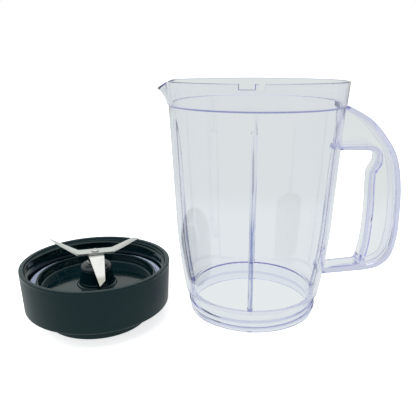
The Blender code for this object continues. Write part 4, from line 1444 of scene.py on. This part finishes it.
# ---------------------------------------------------------------------------- blades
@dataclass
class Blade:
    """One bent blade with two ground wings, in millimetres and radians.

    Attributes:
        name: the piece's name.
        node: the CAD node that it stands for.
        width: across the flat middle.
        bend_at: distance of each bend line from the axis.
        reach: how far each wing reaches from the axis, seen from above.
        folds: rise of each wing; a negative one points down.
        tip_shift: the tip's place off the centre line.
        low: underside of the flat middle.
        yaw: direction about Z.
    """

    name: str
    node: str
    width: float
    bend_at: float
    reach: float
    folds: tuple[float, float]
    tip_shift: float
    low: float
    yaw: float
    sheet: float = 1.5
    tip_slant: float = 3.6
    tip_width: float = 4.2
    bend_radius: float = 4.0
    grind: float = 2.3  # width of the ground edge
    edge: float = 0.25  # thickness left at the cutting edge
    hole: float = 2.7

    def wing(self, fold: float) -> list[Point]:
        """Return one wing's flat outline beyond its bend line."""
        half = self.width / 2
        length = (self.reach - self.bend_at) / math.cos(fold)
        tip = self.bend_at + length
        return [
            (self.bend_at, -half),
            (tip, -self.tip_shift),
            (tip - self.tip_slant, -self.tip_shift + self.tip_width),
            (self.bend_at, half),
        ]

    def grind_wing(self, bm: bmesh.types.BMesh, start: Point, end: Point) -> None:
        """Grind one long edge of a wing down to a cutting edge.

        Args:
            bm: the flat blade.
            start: where the cutting edge starts.
            end: where it ends, at the tip.
        """
        first, last = Vector((*start, 0.0)) * MM, Vector((*end, 0.0)) * MM
        along = (last - first).normalized()
        inward = Vector((-along.y, along.x, 0.0))
        if inward.dot(-first) < 0.0:
            inward = -inward
        everything = list(bm.verts) + list(bm.edges) + list(bm.faces)
        wing = [g for g in everything if self._beyond(g, start[0])]
        cut = first + inward * self.grind * MM
        bmesh.ops.bisect_plane(bm, geom=wing, plane_co=cut, plane_no=inward, dist=MERGE)
        top = self.sheet / 2 * MM
        for vert in bm.verts:
            off = (vert.co - first).dot(inward)
            way = (vert.co - first).dot(along)
            on_edge = abs(off) < 2e-5 and way > -1e-6 and vert.co.z > 0.0
            if on_edge and vert.co.x * start[0] > 0.0:
                share = min(1.0, max(0.0, way / (2.0 * MM)))
                vert.co.z = top - (self.sheet - self.edge) * MM * share

    @staticmethod
    def _beyond(part: Any, side: float) -> bool:
        """Return whether a vertex, edge or face lies on one side of the blade's middle."""
        verts = [part] if isinstance(part, bmesh.types.BMVert) else part.verts
        return all(v.co.x * side > 1e-9 for v in verts)

    def fold_wing(self, bm: bmesh.types.BMesh, side: int, fold: float) -> None:
        """Bend the sheet beyond a line round a cylinder.

        Args:
            bm: the flat blade.
            side: 1 for the wing along +X, -1 for the other.
            fold: the wing's rise.
        """
        size, up = abs(fold), math.copysign(1.0, fold)
        begin = (self.bend_at - self.bend_radius * math.tan(size / 2)) * MM
        length = self.bend_radius * size * MM
        cuts = 6
        for i in range(cuts + 1):
            everything = list(bm.verts) + list(bm.edges) + list(bm.faces)
            at = Vector((side * (begin + length * i / cuts), 0.0, 0.0))
            bmesh.ops.bisect_plane(bm, geom=everything, plane_co=at, plane_no=(1.0, 0.0, 0.0), dist=MERGE)
        radius = self.bend_radius * MM
        for vert in bm.verts:
            past = vert.co.x * side - begin
            if past <= 1e-9:
                continue
            turned = min(past / length, 1.0) * size
            beyond = max(0.0, past - length)
            near = radius - vert.co.z * up
            vert.co.x = side * (begin + near * math.sin(turned) + beyond * math.cos(turned))
            vert.co.z = up * (radius - near * math.cos(turned) + beyond * math.sin(turned))

    def build(self, finish: bpy.types.Material, axis: Vector) -> bpy.types.Object:
        """Build the blade in place.

        Args:
            finish: its steel.
            axis: the shaft's axis.
        Returns:
            The blade.
        """
        right, left = self.wing(self.folds[0]), self.wing(self.folds[1])
        bm = plate(right + [(-x, -y) for x, y in left], self.sheet)
        for side, outline in ((1, right), (-1, left)):
            begin = (side * outline[0][0], side * outline[0][1])
            self.grind_wing(bm, begin, (side * outline[1][0], side * outline[1][1]))
        layer = bm.verts.layers.float.new("ground")
        for vert in bm.verts:
            lowered = vert.co.z > -self.sheet / 2 * MM + 1e-6 and vert.co.z < self.sheet / 2 * MM - 1e-6
            vert[layer] = 1.0 if lowered else 0.0
        for side, fold in zip((1, -1), self.folds):
            self.fold_wing(bm, side, fold)
        bmesh.ops.recalc_face_normals(bm, faces=bm.faces)
        soften(bm, 0.12, 45.0, 2)
        piece = settle(bm, self.name)
        drill = [(self.hole, 3.0), (self.hole, -3.0), (0.0, -3.0), (0.0, 3.0)]
        carve(piece, [(Cut.REMOVE, lathe(drill, 48))])
        lift = Vector((axis.x, axis.y, (self.low + self.sheet / 2) * MM))
        piece.data.transform(Matrix.Translation(lift) @ Matrix.Rotation(self.yaw, 4, "Z"))
        return dress(piece, finish, Body.ROTOR, (self.node,), 22.0)


@dataclass
class Rotor:
    """What turns: the shaft, blades, washers and coupling."""

    axis: Vector
    gap: float = 0.3
    shaft: float = 4.0
    tenon: float = 2.4
    rivet: float = 2.9
    rivet_height: float = 0.9
    clip_groove: float = 0.6
    sheet: float = 1.5
    coupling_wall: float = 3.0
    coupling_teeth: int = 6
    hub_wall: float = 1.8

    def blades(self, steel: Callable[[str, float], bpy.types.Material]) -> list[bpy.types.Object]:
        """Build both blades.

        Args:
            steel: makes the steel for a name and a direction.
        Returns:
            The upper blade and the lower one.
        """
        tenon_end = Extent.of("drive_shaft").high - self.rivet_height - self.gap
        upper_low = tenon_end - self.sheet
        upper = Blade(
            "upper_cutter",
            "upper_blade",
            9.0,
            12.2,
            31.0,
            (math.radians(26.5), math.radians(33.0)),
            4.0,
            upper_low,
            math.radians(15.0),
        )
        lower = Blade(
            "lower_cutter",
            "lower_blade",
            10.6,
            7.2,
            25.0,
            (math.radians(-39.5), math.radians(-39.5)),
            1.2,
            upper_low - self.gap - self.sheet,
            math.radians(-70.0),
            grind=2.6,
        )
        return [blade.build(steel(blade.name + "_steel", blade.yaw), self.axis) for blade in (upper, lower)]

    def spindle(self, finish: bpy.types.Material) -> bpy.types.Object:
        """Build the stepped shaft with its riveted end and threaded tail."""
        size = Extent.of("drive_shaft")
        clip = Extent.of("retaining_ring")
        spacer = Extent.of("hub_spacer")
        seat = size.high - self.rivet_height
        tail = self.shaft - 1.0
        profile = [
            Corner(0.0, size.high - 0.35),
            Corner(0.9, size.high - 0.3, 0.3),
            Corner(1.5, size.high, 0.4),
            Corner(2.3, size.high - 0.1, 0.5),
            Corner(self.rivet, seat + 0.1, 0.3),
            Corner(self.tenon, seat, 0.0),
            Corner(self.tenon, spacer.high, 0.0),
            Corner(self.shaft, spacer.high, 0.3),
            Corner(self.shaft, clip.high + self.gap),
            Corner(self.shaft - self.clip_groove, clip.high + self.gap),
            Corner(self.shaft - self.clip_groove, clip.low - self.gap),
            Corner(tail, clip.low - self.gap),
        ]
        turns = 5
        span = (clip.low - self.gap - size.low - 0.8) / turns
        for i in range(turns):
            top = clip.low - self.gap - 0.4 - i * span
            profile += [Corner(tail, top - 0.1 * span), Corner(tail - 0.35, top - 0.5 * span)]
        profile += [Corner(tail, size.low + 0.5, 0.2), Corner(tail - 0.5, size.low), Corner(0.0, size.low)]
        piece = put(lathe(rounded(profile), SMALL_STEPS), "blade_spindle", self.axis)
        return dress(piece, finish, Body.ROTOR, ("drive_shaft",), 35.0)

    def collar(
        self, node: str, name: str, finish: bpy.types.Material, slot: str, ease: float
    ) -> bpy.types.Object:
        """Build a washer or spacer with rounded edges round the shaft."""
        size = Extent.of(node)
        inner = self.shaft + self.gap
        profile = [
            Corner(size.radius, size.high, ease),
            Corner(size.radius, size.low, ease),
            Corner(inner, size.low, ease / 2),
            Corner(inner, size.high, ease / 2),
        ]
        piece = put(lathe(rounded(profile), SMALL_STEPS), name, self.axis)
        return dress(piece, finish, Body.ROTOR, (node,), 40.0)

    def coupling(self, rubber: bpy.types.Material) -> bpy.types.Object:
        """Build the toothed rubber coupling that the motor turns."""
        size = Extent.of("drive_coupling")
        hub_hole = Extent.of("coupling_insert").radius + self.gap
        inner = size.radius - self.coupling_wall
        roof = size.high - self.coupling_wall
        profile = [
            Corner(size.radius, size.high, 0.8),
            Corner(size.radius, size.low, 0.6),
            Corner(inner, size.low, 0.6),
            Corner(inner, roof, 0.8),
            Corner(hub_hole + self.hub_wall, roof, 0.6),
            Corner(hub_hole + self.hub_wall, size.low, 0.4),
            Corner(hub_hole, size.low, 0.3),
            Corner(hub_hole, size.high, 0.3),
        ]
        piece = settle(lathe(rounded(profile), SMALL_STEPS), "motor_coupling")
        tall = size.high - self.coupling_wall / 2 - size.low - 0.5
        tools = []
        for index in range(self.coupling_teeth):
            tooth = box_mesh((3.3, 3.0, tall), (inner - 0.85, 0.0, size.low + 0.5 + tall / 2), 0.0)
            soften(tooth, 0.5, 45.0, 2)
            turn = math.tau * index / self.coupling_teeth
            bmesh.ops.rotate(tooth, verts=tooth.verts, matrix=Matrix.Rotation(turn, 3, "Z"))
            tools.append((Cut.JOIN, tooth))
        carve(piece, tools)
        piece.data.transform(Matrix.Translation(self.axis))
        return dress(piece, rubber, Body.ROTOR, ("drive_coupling",), 35.0)


# ---------------------------------------------------------------------------- studio
@dataclass
class Studio:
    """Plain pale floor, soft lights and the camera."""

    jug_axis: Vector
    lens: float = 43.27
    sensor: float = 36.0
    tilt: float = math.radians(16.326)
    stand: tuple[float, float, float] = (-0.034, -0.3598, 0.183)
    back_glow: tuple[float, float, float] = (0.752, 0.792, 0.768)
    table_glow: tuple[float, float, float] = (0.815, 0.862, 0.842)
    side_glow: tuple[float, float, float] = (0.76, 0.79, 0.79)
    front_glow: tuple[float, float, float] = (0.52, 0.55, 0.57)
    ceiling_glow: tuple[float, float, float] = (1.18, 1.18, 1.16)
    table_edge: tuple[float, float] = (0.22, 0.36)  # behind the jug's axis, in metres
    bounces: int = 32  # light runs far along the inside of the clear walls

    def camera(self) -> None:
        """Put the camera in front of the jug, looking a little down."""
        lens = bpy.data.cameras.new("camera")
        lens.lens = self.lens
        lens.sensor_width = self.sensor
        lens.clip_start = 0.01
        eye = bpy.data.objects.new("camera", lens)
        bpy.context.scene.collection.objects.link(eye)
        eye.location = self.jug_axis + Vector(self.stand)
        eye.rotation_euler = (math.pi / 2 - self.tilt, 0.0, 0.0)
        bpy.context.scene.camera = eye

    def floor(self) -> None:
        """Lay the pale floor, which is brighter to the eye than in glass and in reflections."""
        bm = bmesh.new()
        bmesh.ops.create_grid(bm, x_segments=1, y_segments=1, size=6.0)
        bmesh.ops.translate(bm, verts=bm.verts, vec=(0.0, 0.0, -0.0002))
        ground = settle(bm, "studio_floor")
        maker = MaterialMaker("studio_paper", Roughness=0.9, Specular_IOR_Level=0.0)
        maker.feed(
            Base_Color=maker.mix(maker.noise(3.0, 2.0), (0.8, 0.81, 0.82), (0.82, 0.83, 0.84)),
            Emission_Color=(1.0, 1.0, 1.0),
            Emission_Strength=0.72,
        )
        _, y, _ = maker.axes(maker.place())
        far = (y - self.jug_axis.y).step(self.table_edge[0], self.table_edge[1])
        glow = maker.add(
            "ShaderNodeEmission", inputs={"Color": maker.mix(far, self.table_glow, self.back_glow)}
        )
        paper = Shade(maker, maker.shader.outputs["BSDF"])
        seen = maker.add("ShaderNodeLightPath", output="Is Camera Ray")
        both = maker.add("ShaderNodeMixShader", inputs={0: seen, 1: glow, 2: paper})
        maker.tree.links.new(both.socket, maker.tree.nodes["Material Output"].inputs["Surface"])
        ground.data.materials.append(maker.material)

    def world(self) -> None:
        """Light the scene with a soft surround that is white to the eye and grey elsewhere."""
        world = bpy.data.worlds.new("studio_surround")
        bpy.context.scene.world = world
        world.use_nodes = True
        tree = world.node_tree
        tree.nodes.clear()
        path = tree.nodes.new("ShaderNodeLightPath")
        place = tree.nodes.new("ShaderNodeTexCoord")
        split = tree.nodes.new("ShaderNodeSeparateXYZ")
        tree.links.new(place.outputs["Generated"], split.inputs["Vector"])
        ramp = tree.nodes.new("ShaderNodeValToRGB")
        MaterialMaker.fill_ramp(
            ramp.color_ramp,
            [
                (0.0, self.front_glow),
                (0.36, self.side_glow),
                (0.56, self.back_glow),
                (1.0, self.back_glow),
            ],
        )
        shift = tree.nodes.new("ShaderNodeMath")
        shift.operation = "MULTIPLY_ADD"
        shift.inputs[1].default_value = 0.5
        shift.inputs[2].default_value = 0.5
        tree.links.new(split.outputs["Y"], shift.inputs[0])
        tree.links.new(shift.outputs[0], ramp.inputs["Fac"])
        lift = tree.nodes.new("ShaderNodeMapRange")
        lift.interpolation_type = "SMOOTHSTEP"
        lift.inputs["From Min"].default_value = 0.8
        lift.inputs["From Max"].default_value = 0.94
        tree.links.new(split.outputs["Z"], lift.inputs["Value"])
        dome = tree.nodes.new("ShaderNodeMix")
        dome.data_type = "RGBA"
        dome.inputs[7].default_value = (*self.ceiling_glow, 1.0)
        tree.links.new(lift.outputs[0], dome.inputs[0])
        tree.links.new(ramp.outputs["Color"], dome.inputs[6])
        hidden = tree.nodes.new("ShaderNodeBackground")
        tree.links.new(dome.outputs[2], hidden.inputs["Color"])
        shown = tree.nodes.new("ShaderNodeBackground")
        shown.inputs["Color"].default_value = (1.0, 1.0, 1.0, 1.0)
        mixed = tree.nodes.new("ShaderNodeMixShader")
        tree.links.new(path.outputs["Is Camera Ray"], mixed.inputs[0])
        tree.links.new(hidden.outputs[0], mixed.inputs[1])
        tree.links.new(shown.outputs[0], mixed.inputs[2])
        out = tree.nodes.new("ShaderNodeOutputWorld")
        tree.links.new(mixed.outputs[0], out.inputs["Surface"])

    def lamp(
        self, name: str, spot: Sequence[float], size: float, power: float, color: Sequence[float]
    ) -> None:
        """Hang a square soft box, unseen in reflections and glass, that faces the middle of the scene."""
        light = bpy.data.lights.new(name, "AREA")
        light.size = size
        light.energy = power
        light.color = color
        thing = bpy.data.objects.new(name, light)
        bpy.context.scene.collection.objects.link(thing)
        thing.location = spot
        thing.visible_glossy = False
        thing.visible_transmission = False
        aim = Vector((0.0, 0.0, 0.06)) - Vector(spot)
        thing.rotation_euler = aim.to_track_quat("-Z", "Y").to_euler()

    def build(self) -> None:
        """Set up the camera, floor, surround and lights."""
        scene = bpy.context.scene
        scene.view_settings.view_transform = "Standard"
        scene.cycles.max_bounces = self.bounces
        scene.cycles.transmission_bounces = self.bounces
        scene.cycles.glossy_bounces = self.bounces
        self.camera()
        self.floor()
        self.world()
        self.lamp("key_box", (-0.9, 0.1, 0.55), 0.5, 4.0, (1.0, 0.99, 0.97))
        self.lamp("top_box", (0.0, -0.2, 1.3), 0.9, 6.0, (0.97, 0.99, 1.0))


# ---------------------------------------------------------------------------- assembly
def dress_inner_nodes(axis: Vector, steel: bpy.types.Material, rubber: bpy.types.Material) -> None:
    """Give the CAD nodes that stay in view from below their finishes.

    Args:
        axis: the blade base's axis.
        steel: finish of the steel pieces.
        rubber: finish of the rubber pieces.
    """
    bronze = TurnedMetal("sintered_bronze", axis, (0.62, 0.42, 0.2), (0.38, 0.24, 0.1), 0.42, 900.0).make()
    brass = TurnedMetal("turned_brass", axis, (0.82, 0.62, 0.28), (0.6, 0.43, 0.17), 0.24).make()
    felt = SoftPart("oiled_felt", (0.36, 0.32, 0.24), (0.5, 0.46, 0.37), 0.9, 1600.0, 0.0001).make()
    finishes = {
        "shaft_seal": rubber,
        "sleeve_o_ring": rubber,
        "upper_bushing": bronze,
        "lower_bushing": bronze,
        "grease_felt": felt,
        "bearing_sleeve": steel,
        "nut_washer": steel,
        "thrust_washer": steel,
        "retaining_ring": steel,
        "coupling_insert": brass,
    }
    for node, finish in finishes.items():
        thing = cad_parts[node]
        thing.data.materials.clear()
        thing.data.materials.append(finish)
        LOG.info("%s keeps its CAD shape with finish %s", node, finish.name)


def main() -> None:
    """Build the studio, then each sub-assembly."""
    logging.basicConfig(level=logging.INFO, format="%(message)s")
    jug = Jug()
    base = BladeBase()
    rotor = Rotor(base.axis)
    Studio(jug.axis).build()

    jug.build(ClearPlastic(jug.marks()).make())

    steel = TurnedMetal("turned_steel", base.axis, (0.8, 0.8, 0.79), (0.5, 0.5, 0.49)).make()
    soot, bloom = (0.008, 0.008, 0.009), (0.03, 0.03, 0.032)
    rubber = SoftPart("black_rubber", soot, bloom, 0.62, 1900.0, 0.00004).make()
    silicone = SoftPart("pale_silicone", (0.36, 0.42, 0.56), (0.5, 0.56, 0.7), 0.42, 700.0, 0.00002).make()
    cup = (base.bore * MM, base.collar.high * MM)
    base.housing(MouldedBlack(base.axis, cup).make())
    base.seal(silicone)
    base.cap(CapBlack(base.axis).make())
    base.nut(steel)

    def blade_steel(name: str, turn: float) -> bpy.types.Material:
        """Return blade steel for one direction."""
        tip, top = (corner.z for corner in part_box("lower_blade"))
        drop = top - tip
        # The lower blade's darker tips are a painted reflection.
        return BladeSteel(name, base.axis, turn, painted_reflection_heights=(tip + 0.42 * drop, tip + 0.24 * drop)).make()

    rotor.blades(blade_steel)
    rotor.spindle(steel)
    rotor.collar("seal_washer", "slinger_washer", steel, "blade_steel", 0.25)
    rotor.collar("hub_spacer", "blade_spacer", steel, "blade_steel", 0.15)
    rotor.coupling(rubber)
    dress_inner_nodes(base.axis, steel, rubber)


if __name__ == "__main__":
    main()
